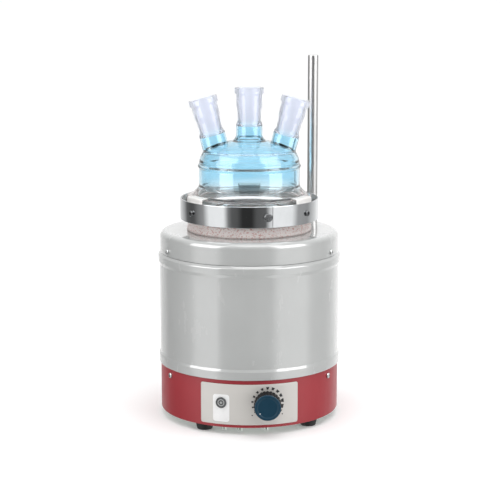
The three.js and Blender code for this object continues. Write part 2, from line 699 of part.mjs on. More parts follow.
function addConnectionBox() {
  const half = BOX_WIDTH / 2;
  const outside = block(-half, half, bandR / 2, boxRear, bandBottom + BOX_MARGIN, bandTop - BOX_MARGIN);
  const mantleSpace = disc(bandR + SEAT_GAP, 0, bandTop, BIG);
  const inletHole = block(
    INLET_X - INLET.width / 2 - HOLE_FIT,
    INLET_X + INLET.width / 2 + HOLE_FIT,
    boxRear - BOX_WALL - PAST,
    boxRear + PAST,
    bandMiddle - INLET.height / 2 - HOLE_FIT,
    bandMiddle + INLET.height / 2 + HOLE_FIT,
  );
  const fuseTool = disc(FUSE_R + HOLE_FIT, -BOX_WALL - PAST, PAST, MEDIUM);
  const fuseHole = backwards(fuseTool, FUSE_X, boxRear, bandMiddle);
  const box = cut(outside, boxSpace(BOX_WALL), mantleSpace, inletHole, fuseHole);
  add("connection_box", "blackPlastic", box);
  addInlet(bandMiddle);
  addFuse(bandMiddle);
}

function addInlet(z) {
  const halfX = INLET.width / 2;
  const halfZ = INLET.height / 2;
  const front = boxRear + GAP + INLET.bezelDepth - INLET.depth;
  const rear = boxRear + GAP + INLET.bezelDepth;
  const bezelX = halfX + INLET.bezel;
  const bezelZ = halfZ + INLET.bezel;
  const body = block(-halfX, halfX, front, rear, -halfZ, halfZ);
  const bezel = block(-bezelX, bezelX, rear - INLET.bezelDepth, rear, -bezelZ, bezelZ);
  const cavityX = halfX - INLET.wall;
  const cavityZ = halfZ - INLET.wall;
  const cavityFront = front + INLET.floor;
  const cavity = block(-cavityX, cavityX, cavityFront, rear + PAST, -cavityZ, cavityZ);
  const halfPin = PIN.width / 2;
  const pinEnd = cavityFront + PIN.length;
  const pin = (x, low) => block(x - halfPin, x + halfPin, front + PAST, pinEnd, low, low + PIN.height);
  const lowPin = -PIN.drop - PIN.height;
  const socket = cut(join(body, bezel), cavity);
  const inlet = join(socket, pin(-PIN.spread, lowPin), pin(PIN.spread, lowPin), pin(0, PIN.rise));
  add("mains_inlet", "blackPlastic", inlet).position.set(INLET_X, 0, z);
}

function addFuse(z) {
  const barrel = disc(FUSE_R, -FUSE_DEPTH, GAP, MEDIUM);
  const capTop = GAP + INLET.bezelDepth;
  const cap = disc(FUSE_CAP_R, GAP, capTop, MEDIUM);
  const halfX = FUSE_SLOT.length / 2;
  const halfY = FUSE_SLOT.width / 2;
  const slot = block(-halfX, halfX, -halfY, halfY, capTop - FUSE_SLOT.depth, capTop + PAST);
  const carrier = cut(join(barrel, cap), slot).rotateX(-Math.PI / 2);
  add("fuse_carrier", "blackPlastic", carrier).position.set(FUSE_X, boxRear, z);
}

function addInsulation() {
  const bowlR = jacketR + JACKET_FIT;
  const profile = [
    [0, shieldTop + GAP],
    [insulationR, shieldTop + GAP],
    [insulationR, coverTop - COVER_EDGE_R],
    [bowlR, coverTop - COVER_EDGE_R],
    ...arc(0, bowlZ, bowlR, 0, -90, BOWL_STEPS),
  ];
  add("insulation", "wool", turned(profile, BIG));
}

function addHeaterJacket() {
  const profile = [
    ...arc(0, bowlZ, jacketR, -90, 0, BOWL_STEPS),
    [jacketR, coverTop + GAP],
    [collarR, coverTop + GAP],
    [collarR, collarTop - COLLAR_TAPER.height],
    [collarR - COLLAR_TAPER.inset, collarTop],
    [jacketInnerR, collarTop],
    ...arc(0, bowlZ, jacketInnerR, 0, -90, BOWL_STEPS),
  ];
  add("heater_jacket", "weave", turned(profile, BIG));
}

function addVessel() {
  const innerR = VESSEL_R - GLASS_WALL;
  const profile = [
    ...arc(0, bowlZ, VESSEL_R, -90, 0, BOWL_STEPS),
    [VESSEL_R, vesselFlangeBottom - FLANGE_ROOT.height],
    [VESSEL_R + FLANGE_ROOT.width, vesselFlangeBottom],
    [flangeR, vesselFlangeBottom],
    [flangeR, vesselFlangeTop],
    [innerR, vesselFlangeTop],
    ...arc(0, bowlZ, innerR, 0, -90, BOWL_STEPS),
  ];
  add("reaction_vessel", "glass", turned(profile, BIG));
  const gasket = tube(gasketR, gasketR - GASKET_WIDTH, gasketBottom, gasketBottom + GASKET, BIG);
  add("lid_gasket", "silicone", gasket);
}

// A neck's outside, from its rim at z = 0 down into the dome.
function neckOutside({ length, footR }) {
  return turned(
    [
      [0, -length - NECK.root],
      [NECK.tubeR, -length - NECK.root],
      [footR, -length],
      [NECK.tubeR, -length + NECK.flare],
      [NECK.tubeR, -SOCKET.length - NECK.shoulder],
      [NECK.waistR, -NECK.waistBottom],
      [NECK.waistR, -NECK.waistTop],
      [NECK.topR, -SOCKET.length / 2],
      [NECK.topR, -SOCKET.rim - NECK.rimBlend],
      [SOCKET.rimR, -SOCKET.rim],
      [SOCKET.rimR, 0],
      [0, 0],
    ],
    MEDIUM,
  );
}

// A neck's bore: the tapered socket, then the plain tube down into the lid.
function neckBore(length) {
  const tubeR = NECK.tubeR - NECK.wall;
  const low = -length - DOME_SHOULDER_DROP;
  const growth = ((SOCKET.mouthR - SOCKET.rootR) / SOCKET.length) * PAST;
  return turned(
    [
      [0, low],
      [tubeR, low],
      [tubeR, -SOCKET.length - (tubeR - SOCKET.rootR)],
      [SOCKET.rootR, -SOCKET.length],
      [SOCKET.mouthR + growth, PAST],
      [0, PAST],
    ],
    MEDIUM,
  );
}

// The three necks: the rim's centre, the tilt away from the middle, the length and the foot.
function neckPlaces() {
  const shoulder = (sideNeckX / domeShoulderR) ** 2;
  const sideBase = domeTop - DOME_SHOULDER_DROP * shoulder;
  const tilt = radians(SIDE_NECK_TILT);
  const sideX = sideNeckX + SIDE_NECK_LENGTH * Math.sin(tilt);
  const sideZ = sideBase + SIDE_NECK_LENGTH * Math.cos(tilt);
  const side = { z: sideZ, length: SIDE_NECK_LENGTH, footR: NECK.tubeR };
  const centreZ = domeTop + CENTRE_NECK_LENGTH;
  return [
    { x: 0, z: centreZ, tilt: 0, length: CENTRE_NECK_LENGTH, footR: NECK.flareR },
    { ...side, x: -sideX, tilt: -tilt },
    { ...side, x: sideX, tilt },
  ];
}

// Half outlines of the lid's dome, at a depth under its outside.
function domeProfile(inset) {
  const shoulderR = domeShoulderR - inset;
  const crown = Array.from({ length: DOME_STEPS + 1 }, (_, i) => {
    const r = shoulderR * (1 - i / DOME_STEPS);
    return [r, domeTop - inset - DOME_SHOULDER_DROP * (r / shoulderR) ** 2];
  });
  const wall = LID_R - inset;
  return [[wall, lidWallTop], [wall - DOME_ROOT.inset, lidWallTop + DOME_ROOT.height], ...crown];
}

function lidOutside() {
  return turned(
    [
      [0, lidBottom],
      [flangeR, lidBottom],
      [flangeR, lidFlangeTop],
      [lidConeTopR, lidFlangeTop],
      [LID_R, lidWallBottom],
      [LID_R, lidWallTop - LID_BEAD.height],
      [LID_R + LID_BEAD.reach, lidWallTop - LID_BEAD.height / 2],
      ...domeProfile(0),
    ],
    BIG,
  );
}

function lidInside() {
  const mouthR = VESSEL_R - GLASS_WALL;
  return turned(
    [
      [0, lidBottom - PAST],
      [mouthR, lidBottom - PAST],
      [mouthR, lidFlangeTop],
      [LID_R - GLASS_WALL, lidWallBottom],
      ...domeProfile(GLASS_WALL),
    ],
    BIG,
  );
}

function addLid() {
  const along = (geometry, { x, z, tilt }) => geometry.rotateY(tilt).translate(x, 0, z);
  const places = neckPlaces();
  const outside = join(lidOutside(), ...places.map((at) => along(neckOutside(at), at)));
  const bores = places.map((at) => along(neckBore(at.length), at));
  add("vessel_lid", "glass", cut(outside, lidInside(), ...bores));
}

// The band's ends lap under the closing screw, and its slit lies just beside that screw's head.
function addClampBand() {
  const headAngle = THREE.MathUtils.radToDeg((CLOSING_HEAD_R + SHELL_FIT) / clampR);
  const slitAt = CLOSING_AZIMUTH + headAngle;
  const lapStart = CLOSING_AZIMUTH - LAP_HALF_ANGLE;
  const lapEnd = CLOSING_AZIMUTH + LAP_HALF_ANGLE;
  const ring = (outer, inner, from, to, steps) =>
    sector(outer, inner, from, to, clampBottom, clampTop, steps);
  const tabR = clampInnerR - GAP;
  const tabInnerR = tabR - CLAMP_WALL;
  const rest = ring(clampR, clampInnerR, slitAt + SLIT_ANGLE, slitAt + 360, BIG * 2);
  const tab = ring(tabR, tabInnerR, lapStart, lapEnd, LAP_STEPS);
  const bridgeR = clampInnerR + CLAMP_WALL / 2;
  const bridge = ring(bridgeR, tabInnerR, slitAt + 2 * SLIT_ANGLE, lapEnd + SLIT_ANGLE, LAP_STEPS);
  const holeR = CLOSING_SHANK_R + HOLE_FIT;
  const closingHole = radialPin(holeR, tabInnerR - PAST, clampR + PAST, clampMiddle, CLOSING_AZIMUTH, MEDIUM);
  const band = join(rest, tab, bridge);
  add("clamp_band", "polished", cut(band, closingHole, ...CLAW_AZIMUTHS.map(clawHole)));
}

function clawHole(azimuth) {
  return wallHole(SCREW_R, flangeR + CLAW_SHEET, clampR, clampMiddle, azimuth);
}

// A claw is bent sheet that reaches over the lid's flange and under the vessel's.
function clawGeometry(azimuth) {
  const backR = clampInnerR - GAP;
  const frontR = backR - CLAW_SHEET;
  const biteR = flangeR - CLAW_BITE;
  const low = vesselFlangeBottom - GAP - CLAW_SHEET;
  const high = lidFlangeTop + GAP + CLAW_SHEET;
  const outline = [
    [biteR, low],
    [backR + PAST, low],
    [backR + PAST, high],
    [biteR, high],
    [biteR, high - CLAW_SHEET],
    [frontR, high - CLAW_SHEET],
    [frontR, low + CLAW_SHEET],
    [biteR, low + CLAW_SHEET],
  ];
  const stand = new THREE.Matrix4().makeBasis(
    new THREE.Vector3(0, -1, 0),
    new THREE.Vector3(0, 0, 1),
    new THREE.Vector3(-1, 0, 0),
  );
  const straight = raised(outline, -CLAW_WIDTH / 2, CLAW_WIDTH / 2).applyMatrix4(stand);
  const bent = straight.rotateZ(radians(azimuth));
  const inBand = common(bent, disc(backR - GAP, low - PAST, high + PAST, BIG * 2));
  return cut(inBand, clawHole(azimuth));
}

function addClaws() {
  const reach = clampR + GAP;
  const length = clampR - flangeR - CLAW_SHEET;
  const profile = screwProfile(SCREW_R, SCREW_HEAD_R, SCREW_HEAD, length);
  CLAW_AZIMUTHS.forEach((azimuth, i) => {
    add("clamp_claw_" + CLAW_NAMES[i], "steel", clawGeometry(azimuth));
    const screw = turned(profile, SMALL).rotateX(Math.PI / 2);
    place(add("claw_screw_" + CLAW_NAMES[i], "steel", screw), reach, azimuth, clampMiddle);
  });
  const closing = turned(screwProfile(CLOSING_SHANK_R, CLOSING_HEAD_R, CLOSING_HEAD, length), MEDIUM);
  const half = CLOSING_SLOT.width / 2;
  const slotBottom = CLOSING_HEAD - CLOSING_SLOT.depth;
  const slot = block(-CLOSING_HEAD_R, CLOSING_HEAD_R, -half, half, slotBottom, CLOSING_HEAD + PAST);
  const screw = cut(closing, slot).rotateX(Math.PI / 2);
  place(add("clamp_closing_screw", "steel", screw), reach, CLOSING_AZIMUTH, clampMiddle);
}

// The rod's pieces are made as if the rod stood in front, then turned to its azimuth.
function addRod() {
  const turn = radians(ROD_AZIMUTH);
  const nutR = bandInnerR - STUD_NUT - NUT_SEAT;
  const barrel = disc(ROD_SOCKET_R, rodSocketBottom, rodSocketTop, MEDIUM).translate(0, -rodAxisR, 0);
  const half = ROD_BRIDGE_WIDTH / 2;
  const bridge = block(-half, half, -rodAxisR, PAST - bandR, rodSocketBottom, rodSocketTop);
  const mantleSpace = disc(bandR + SEAT_GAP, 0, bandTop, BIG).rotateZ(-turn);
  const studBar = disc(STUD_R, nutR - STUD_END, bandR + SEAT_GAP + 2 * PAST, SMALL);
  const stud = forwards(studBar, 0, 0, studZ);
  const boreLow = rodSocketBottom + ROD_SOCKET_FLOOR;
  const bore = disc(ROD_R + ROD_FIT, boreLow, rodSocketTop + PAST, MEDIUM).translate(0, -rodAxisR, 0);
  const thumbTool = disc(THUMB_R + HOLE_FIT, rodAxisR, rodAxisR + ROD_SOCKET_R + PAST, MEDIUM);
  const thumbHole = forwards(thumbTool, 0, 0, thumbZ);
  const seated = cut(join(barrel, bridge), mantleSpace);
  add("rod_socket", "greyPaint", cut(join(seated, stud), bore, thumbHole)).rotation.z = turn;

  const nut = hexNut(STUD_NUT_R, STUD_NUT, STUD_R, SMALL).rotateX(Math.PI / 2);
  place(add("rod_socket_nut", "zinc", nut), nutR, ROD_AZIMUTH, studZ);
  const rod = turned(bevelled(ROD_R, ROD_LENGTH, ROD_CHAMFER), MEDIUM);
  place(add("support_rod", "steel", rod), rodAxisR, ROD_AZIMUTH, rodBottom);

  addThumbScrew();
}

function addThumbScrew() {
  const low = ROD_SOCKET_R + THUMB_NECK;
  const shank = disc(THUMB_R, ROD_R + GAP, low + PAST, MEDIUM);
  const outline = lobedOutline(THUMB_KNOB_R, THUMB_LOBE_DEPTH, THUMB_LOBES, LOBE_STEPS);
  const screw = join(shank, raised(outline, low, low + THUMB_KNOB)).rotateX(Math.PI / 2);
  place(add("rod_thumb_screw", "blackPlastic", screw), rodAxisR, ROD_AZIMUTH, thumbZ);
}

addBottomPlate();
addBaseBand();
addFeet();
addPlateScrews();
addCasing();
addTopCover();
addSideScrews("cover_screw", COVER_SCREW_AZIMUTHS, coverR + GAP, coverScrewZ);
addSideScrews("base_screw", BASE_SCREW_AZIMUTHS, bandR + GAP, baseScrewZ);
addPanel();
addPowerControl();
addController();
addShieldAndPosts();
addConnectionBox();
addInsulation();
addHeaterJacket();
addVessel();
addLid();
addClampBand();
addClaws();
addRod();

export default mantle;
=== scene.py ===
import math

import bmesh
import bpy
import numpy as np
from mathutils import Matrix, Vector


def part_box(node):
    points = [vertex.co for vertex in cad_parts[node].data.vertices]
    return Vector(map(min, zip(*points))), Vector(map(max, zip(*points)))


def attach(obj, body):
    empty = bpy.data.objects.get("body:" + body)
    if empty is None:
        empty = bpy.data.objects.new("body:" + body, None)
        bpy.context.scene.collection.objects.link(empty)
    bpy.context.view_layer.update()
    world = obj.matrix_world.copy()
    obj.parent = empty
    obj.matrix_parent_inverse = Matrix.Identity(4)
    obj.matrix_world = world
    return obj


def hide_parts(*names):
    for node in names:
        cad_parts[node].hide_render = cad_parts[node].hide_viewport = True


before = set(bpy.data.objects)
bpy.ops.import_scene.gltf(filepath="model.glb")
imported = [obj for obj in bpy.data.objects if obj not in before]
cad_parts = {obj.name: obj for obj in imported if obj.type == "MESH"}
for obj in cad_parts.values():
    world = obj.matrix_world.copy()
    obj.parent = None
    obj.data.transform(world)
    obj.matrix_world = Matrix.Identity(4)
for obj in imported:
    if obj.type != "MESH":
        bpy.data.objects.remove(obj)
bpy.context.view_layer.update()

MM = 0.001
ROUND = 160  # steps round a large turned piece
SMALL_ROUND = 48  # steps round a small turned piece


# --- sizes from the frame
def low(node, axis=2):
    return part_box(node)[0][axis]


def high(node, axis=2):
    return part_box(node)[1][axis]


def middle(node):
    a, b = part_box(node)
    return Vector([(p + q) / 2 for p, q in zip(a, b)])


SHEET = 1.2 * MM
GAP = 0.3 * MM
BAND_R = high("base_band", 0)
BAND_LOW = low("base_band")
BAND_TOP = high("base_band")
BODY_R = BAND_R + 0.6 * MM
BEAD_R = high("casing", 0)
FLARE_R = BEAD_R - 0.2 * MM
CASING_LOW = BAND_TOP + GAP
COVER_LOW = low("top_cover")
COVER_TOP = high("top_cover")
SEAM = COVER_LOW - GAP
PANEL_R = -low("control_panel", 1)
KNOB_X = middle("control_knob").x
KNOB_Z = middle("control_knob").z
COLLAR_TOP = high("heater_jacket")
COLLAR_R = high("heater_jacket", 0)
VESSEL_R = COLLAR_R - 8 * MM
GLASS = 3 * MM
FLANGE_R = high("reaction_vessel", 0)
CLAMP_R = high("clamp_band", 0)
CLAMP_LOW = low("clamp_band")
CLAMP_TOP = high("clamp_band")
ROD_AXIS = middle("support_rod")
ROD_AZIMUTH = math.atan2(ROD_AXIS.x, -ROD_AXIS.y)
ROD_REACH = math.hypot(ROD_AXIS.x, ROD_AXIS.y)


# --- mesh helpers
def new_object(name, verts, faces, smooth_angle=35):
    mesh = bpy.data.meshes.new(name)
    mesh.from_pydata([tuple(v) for v in verts], [], [tuple(f) for f in faces])
    mesh.validate()
    obj = bpy.data.objects.new(name, mesh)
    bpy.context.scene.collection.objects.link(obj)
    tidy(obj, smooth_angle)
    return obj


def tidy(obj, smooth_angle=35):
    """Faces outwards, and smooth shading with sharp edges past the angle."""
    work = bmesh.new()
    work.from_mesh(obj.data)
    bmesh.ops.remove_doubles(work, verts=work.verts, dist=1e-7)
    bmesh.ops.recalc_face_normals(work, faces=work.faces)
    work.to_mesh(obj.data)
    work.free()
    obj.data.shade_smooth()
    obj.data.set_sharp_from_angle(angle=math.radians(smooth_angle))


def fillet(points, radius, steps=4, closed=True):
    """A profile with its corners rounded. A point may carry its own radius as a third number."""
    out = []
    count = len(points)
    for i, point in enumerate(points):
        here = Vector(point[:2])
        size = point[2] if len(point) > 2 else radius
        if size <= 0 or (not closed and i in (0, count - 1)):
            out.append(tuple(here))
            continue
        before = Vector(points[i - 1][:2]) - here
        after = Vector(points[(i + 1) % count][:2]) - here
        half = before.angle(after) / 2
        if half > math.radians(89):
            out.append(tuple(here))
            continue
        reach = min(size / math.tan(half), before.length * 0.49, after.length * 0.49)
        a = here + before.normalized() * reach
        b = here + after.normalized() * reach
        for k in range(steps + 1):
            t = k / steps
            out.append(tuple(a.lerp(here, t).lerp(here.lerp(b, t), t)))
    return out


def arc(centre_r, centre_z, radius, start, end, steps):
    angles = np.radians(np.linspace(start, end, steps + 1))
    return [(centre_r + radius * math.cos(a), centre_z + radius * math.sin(a)) for a in angles]


def lathe_data(profile, steps, closed):
    """Vertices and faces of a profile of (radius, z) turned about Z."""
    angles = [2 * math.pi * i / steps for i in range(steps)]
    verts, rings = [], []
    for r, z in profile:
        if r < 1e-7:
            rings.append([len(verts)])
            verts.append((0, 0, z))
        else:
            rings.append(list(range(len(verts), len(verts) + steps)))
            verts += [(r * math.sin(a), -r * math.cos(a), z) for a in angles]
    faces = []
    pairs = list(zip(rings, rings[1:]))
    if closed:
        pairs.append((rings[-1], rings[0]))
    for a, b in pairs:
        for i in range(steps):
            j = (i + 1) % steps
            corner = [a[i % len(a)], a[j % len(a)], b[j % len(b)], b[i % len(b)]]
            face = list(dict.fromkeys(corner))
            if len(face) > 2:
                faces.append(face)
    return verts, faces


def turned(name, profile, steps=ROUND, closed=True, smooth_angle=35):
    verts, faces = lathe_data(profile, steps, closed)
    return new_object(name, verts, faces, smooth_angle)


def cylinder(radius, bottom, top, steps=SMALL_ROUND):
    return turned("cylinder", [(0, bottom), (radius, bottom), (radius, top), (0, top)], steps, False)


def stacked(name, rings, smooth_angle):
    """Rings of equally many points, joined one to the next, with both ends closed."""
    around = len(rings[0])
    verts = [p for ring in rings for p in ring]
    faces = []
    for k in range(len(rings) - 1):
        for i in range(around):
            j = (i + 1) % around
            faces.append([k * around + i, k * around + j, (k + 1) * around + j, (k + 1) * around + i])
    faces += [list(range(around)), list(range((len(rings) - 1) * around, len(rings) * around))]
    return new_object(name, verts, faces, smooth_angle)


def prism(name, outline, bottom, top, smooth_angle=35):
    """An outline of (x, y), raised from bottom to top."""
    n = len(outline)
    verts = [(x, y, bottom) for x, y in outline] + [(x, y, top) for x, y in outline]
    faces = [[(i + 1) % n, i, i + n, (i + 1) % n + n] for i in range(n)]
    faces += [list(range(n)), list(range(2 * n - 1, n - 1, -1))]
    return new_object(name, verts, faces, smooth_angle)


def box(name, lowest, highest):
    (x0, y0, z0), (x1, y1, z1) = lowest, highest
    return prism(name, [(x0, y0), (x1, y0), (x1, y1), (x0, y1)], z0, z1)


def apply_modifiers(obj):
    depsgraph = bpy.context.evaluated_depsgraph_get()
    depsgraph.update()
    mesh = bpy.data.meshes.new_from_object(obj.evaluated_get(depsgraph))
    obj.modifiers.clear()
    old = obj.data
    obj.data = mesh
    mesh.name = obj.name
    bpy.data.meshes.remove(old)


def bevel(obj, width, segments=3, angle=35):
    modifier = obj.modifiers.new("bevel", "BEVEL")
    modifier.width = width
    modifier.segments = segments
    modifier.limit_method = "ANGLE"
    modifier.angle_limit = math.radians(angle)
    modifier.harden_normals = False
    apply_modifiers(obj)
    tidy(obj, angle)
    return obj


def combine(obj, tool, operation="DIFFERENCE", smooth_angle=35):
    modifier = obj.modifiers.new("combine", "BOOLEAN")
    modifier.operation = operation
    modifier.solver = "EXACT"
    modifier.object = tool
    apply_modifiers(obj)
    bpy.data.objects.remove(tool)
    tidy(obj, smooth_angle)
    return obj


def merge(name, objects, smooth_angle=35):
    """Several meshes as one object, with no cutting."""
    verts, faces = [], []
    for obj in objects:
        start = len(verts)
        verts += [tuple(obj.matrix_basis @ v.co) for v in obj.data.vertices]
        faces += [[start + i for i in p.vertices] for p in obj.data.polygons]
        bpy.data.objects.remove(obj)
    return new_object(name, verts, faces, smooth_angle)


def moved(obj, matrix):
    obj.data.transform(matrix)
    obj.data.update()
    return obj


def facing_front():
    """Turns what is made along +Z so that it points to -Y."""
    return Matrix.Rotation(math.pi / 2, 4, "X")


def facing_rear():
    """Turns what is made along +Z so that it points to +Y."""
    return Matrix.Rotation(-math.pi / 2, 4, "X")


def at_azimuth(radius, azimuth, z):
    """From a piece made along +Z to one that points outwards at an azimuth."""
    return Matrix.Rotation(azimuth, 4, "Z") @ Matrix.Translation((0, -radius, z)) @ facing_front()


def keep(obj, body, slot, material, *nodes):
    obj.data.materials.clear()
    obj.data.materials.append(material)
    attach(obj, body)
    if nodes:
        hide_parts(*nodes)
    return obj


# --- camera
def add_camera():
    """At the height, distance and angle of a 110 mm lens seen from the front."""
    data = bpy.data.cameras.new("camera")
    data.sensor_width = 36
    data.lens = 109.69
    data.shift_x = 0.0014
    data.clip_start = 0.05
    data.clip_end = 50
    camera = bpy.data.objects.new("camera", data)
    camera.location = (0, -1.6665, 0.4882)
    camera.rotation_euler = (math.radians(90 - 10.36), 0, 0)
    bpy.context.scene.collection.objects.link(camera)
    bpy.context.scene.camera = camera


# --- materials
class Finish:
    """A material's node tree, with short names for the nodes that every finish uses."""

    def __init__(self, name, color, rough, metal=0.0):
        self.material = bpy.data.materials.new(name)
        self.material.use_nodes = True
        self.tree = self.material.node_tree
        self.shader = self.tree.nodes["Principled BSDF"]
        self.shader.inputs["Base Color"].default_value = (*color, 1)
        self.shader.inputs["Roughness"].default_value = rough
        self.shader.inputs["Metallic"].default_value = metal
        self.position = self.tree.nodes.new("ShaderNodeTexCoord").outputs["Object"]

    def node(self, kind, **settings):
        made = self.tree.nodes.new(kind)
        for key, value in settings.items():
            setattr(made, key, value)
        return made

    def link(self, source, target):
        self.tree.links.new(source, target)

    def stretched(self, scale):
        mapping = self.node("ShaderNodeMapping")
        mapping.inputs["Scale"].default_value = scale
        self.link(self.position, mapping.inputs["Vector"])
        return mapping.outputs["Vector"]

    def noise(self, scale, detail=3, rough=0.5, stretch=None):
        made = self.node("ShaderNodeTexNoise")
        made.inputs["Scale"].default_value = scale
        made.inputs["Detail"].default_value = detail
        made.inputs["Roughness"].default_value = rough
        self.link(self.stretched(stretch) if stretch else self.position, made.inputs["Vector"])
        return made.outputs["Fac"]

    def between(self, source, from_low=0.3, from_high=0.7, to_low=0, to_high=1):
        made = self.node("ShaderNodeMapRange")
        limits = {"From Min": from_low, "From Max": from_high, "To Min": to_low, "To Max": to_high}
        for key, value in limits.items():
            made.inputs[key].default_value = value
        self.link(source, made.inputs["Value"])
        return made.outputs["Result"]

    def blend(self, factor, first, second):
        made = self.node("ShaderNodeMix", data_type="RGBA")
        for key, value in ((6, first), (7, second)):
            if isinstance(value, tuple):
                made.inputs[key].default_value = (*value, 1)
            else:
                self.link(value, made.inputs[key])
        self.link(factor, made.inputs[0])
        return made.outputs[2]

    def bump(self, height, strength, distance):
        made = self.node("ShaderNodeBump")
        made.inputs["Strength"].default_value = strength
        made.inputs["Distance"].default_value = distance
        self.link(height, made.inputs["Height"])
        return made.outputs["Normal"]

    def color(self, source):
        self.link(source, self.shader.inputs["Base Color"])

    def rough(self, source):
        self.link(source, self.shader.inputs["Roughness"])

    def normal(self, source):
        self.link(source, self.shader.inputs["Normal"])

    def set(self, **values):
        for key, value in values.items():
            self.shader.inputs[key.replace("_", " ")].default_value = value


def shade(color, factor):
    return tuple(min(1.0, c * factor) for c in color)


def painted(name, color, rough, peel=0.25, coat=1.0, coat_index=1.9):
    """Sprayed enamel: faint clouding, orange peel, and dust specks that dull it a little."""
    f = Finish(name, color, rough)
    cloud = f.noise(14, 4, 0.55)
    f.color(f.blend(f.between(cloud), shade(color, 0.965), shade(color, 1.03)))
    scuff = f.noise(60, 6, 0.65, stretch=(1, 1, 0.35))
    f.rough(f.between(scuff, 0.35, 0.75, rough * 0.9, rough * 1.25))
    peel_height = f.noise(650, 2, 0.4)
    f.normal(f.bump(peel_height, peel, 0.00008))
    f.set(IOR=1.5, Coat_Weight=coat, Coat_IOR=coat_index, Coat_Roughness=0.07)
    return f.material


def steel(name, color, rough, stretch, grain=0.25, scale=900):
    """Drawn or polished metal with its grain along one direction."""
    f = Finish(name, color, rough, 1.0)
    lines = f.noise(scale, 3, 0.6, stretch=stretch)
    f.rough(f.between(lines, 0.3, 0.7, rough * 0.7, rough * 1.4))
    haze = f.noise(25, 4, 0.6)
    f.color(f.blend(f.between(haze, 0.35), shade(color, 0.95), shade(color, 1.04)))
    f.normal(f.bump(lines, grain, 0.00003))
    return f.material


def moulded(name, color, rough, texture=0.35, scale=1500, gloss=0.5):
    """Moulded plastic or rubber with a fine spark-eroded texture."""
    f = Finish(name, color, rough)
    grain = f.noise(scale, 2, 0.5)
    patch = f.noise(30, 4, 0.6)
    f.color(f.blend(f.between(patch), shade(color, 0.9), shade(color, 1.12)))
    f.rough(f.between(patch, 0.3, 0.7, rough * 0.88, rough * 1.12))
    f.normal(f.bump(grain, texture, 0.00006))
    f.set(Specular_IOR_Level=gloss)
    return f.material


def glass(name, color, rough, frost=0.0, backdrop_blue=None):
    """Borosilicate glass. A backdrop blue, when given, is painted into the colour above the flanges: a
    painted stand-in for the blue backdrop seen through the glass. Ground sockets are rough and milky.
    """
    f = Finish(name, color, rough)
    f.set(Transmission_Weight=1.0 - frost, IOR=1.47)
    if frost > 0:
        fine = f.noise(2600, 2, 0.5)
        f.rough(f.between(fine, 0.3, 0.7, rough * 0.8, rough * 1.2))
        f.color(f.blend(f.between(f.noise(140, 3, 0.6)), shade(color, 0.97), shade(color, 1.03)))
        return f.material
    wave = f.noise(18, 2, 0.4)
    f.normal(f.bump(wave, 0.06, 0.0006))
    if not backdrop_blue:
        f.color(f.blend(f.between(wave), shade(color, 0.985), shade(color, 1.01)))
        return f.material
    # Painted backdrop: blue is blended into the colour from flange + 12 mm up, standing in for the blue
    # backdrop seen through the glass.
    height = f.node("ShaderNodeSeparateXYZ")
    f.link(f.position, height.inputs[0])
    flange = low("vessel_lid")
    rise = f.between(height.outputs["Z"], flange + 12 * MM, flange + 24 * MM)
    patch = f.between(f.noise(45, 3), 0.3, 0.7, 0.8, 1)
    part = f.node("ShaderNodeMath", operation="MULTIPLY")
    f.link(rise, part.inputs[0])
    f.link(patch, part.inputs[1])
    f.color(f.blend(part.outputs[0], color, backdrop_blue))
    return f.material


def fibre(name, color):
    """Glass fibre yarn: fine strands, slightly uneven in colour and sheen."""
    f = Finish(name, color, 0.85)
    strand = f.noise(2200, 3, 0.6, stretch=(1, 1, 0.35))
    patch = f.noise(90, 4, 0.6)
    tinted = f.blend(f.between(patch, 0.35, 0.65, 0, 1), shade(color, 0.93), shade(color, 1.05))
    pale = f.blend(f.between(strand, 0.35), tinted, (0.95, 0.89, 0.87))
    speck = f.noise(480, 2, 0.5, stretch=(1, 1, 1.6))
    f.color(f.blend(f.between(speck, 0.54, 0.64, 0, 0.9), pale, (0.66, 0.36, 0.33)))
    f.normal(f.bump(strand, 0.5, 0.00018))
    f.set(Sheen_Weight=0.3, Sheen_Roughness=0.5)
    return f.material


def circuit_board():
    f = Finish("board_green", (0.04, 0.16, 0.07), 0.4)
    traces = f.node("ShaderNodeTexBrick")
    traces.inputs["Scale"].default_value = 160
    f.link(f.position, traces.inputs["Vector"])
    f.color(f.blend(traces.outputs["Fac"], (0.03, 0.15, 0.06), (0.07, 0.24, 0.10)))
    f.normal(f.bump(traces.outputs["Fac"], 0.3, 0.00005))
    return f.material


def mineral_wool():
    f = Finish("mineral_wool", (0.68, 0.62, 0.45), 0.95)
    tangle = f.noise(420, 6, 0.75, stretch=(1, 1, 3))
    f.color(f.blend(f.between(tangle), (0.50, 0.44, 0.30), (0.78, 0.73, 0.58)))
    f.normal(f.bump(tangle, 0.9, 0.001))
    return f.material


GREY = painted("grey_enamel", (0.48, 0.49, 0.485), 0.24, 0.15)
RED = painted("red_enamel", (0.36, 0.022, 0.032), 0.42, 0.1, 0.12, 1.45)
PANEL = painted("panel_silver", (0.62, 0.60, 0.57), 0.35, 0.12, 0.5, 1.5)
POLISHED = steel("polished_stainless", (0.62, 0.635, 0.645), 0.06, (0.2, 0.2, 6), 0.06, 500)
BRIGHT = steel("bright_screw_steel", (0.80, 0.81, 0.81), 0.24, (1, 1, 1), 0.15)
ROD_STEEL = steel("drawn_stainless", (0.60, 0.60, 0.595), 0.33, (8, 8, 0.3), 0.15, 400)
CLAW_STEEL = steel("claw_stainless", (0.80, 0.79, 0.775), 0.6, (1, 1, 4), 0.15)
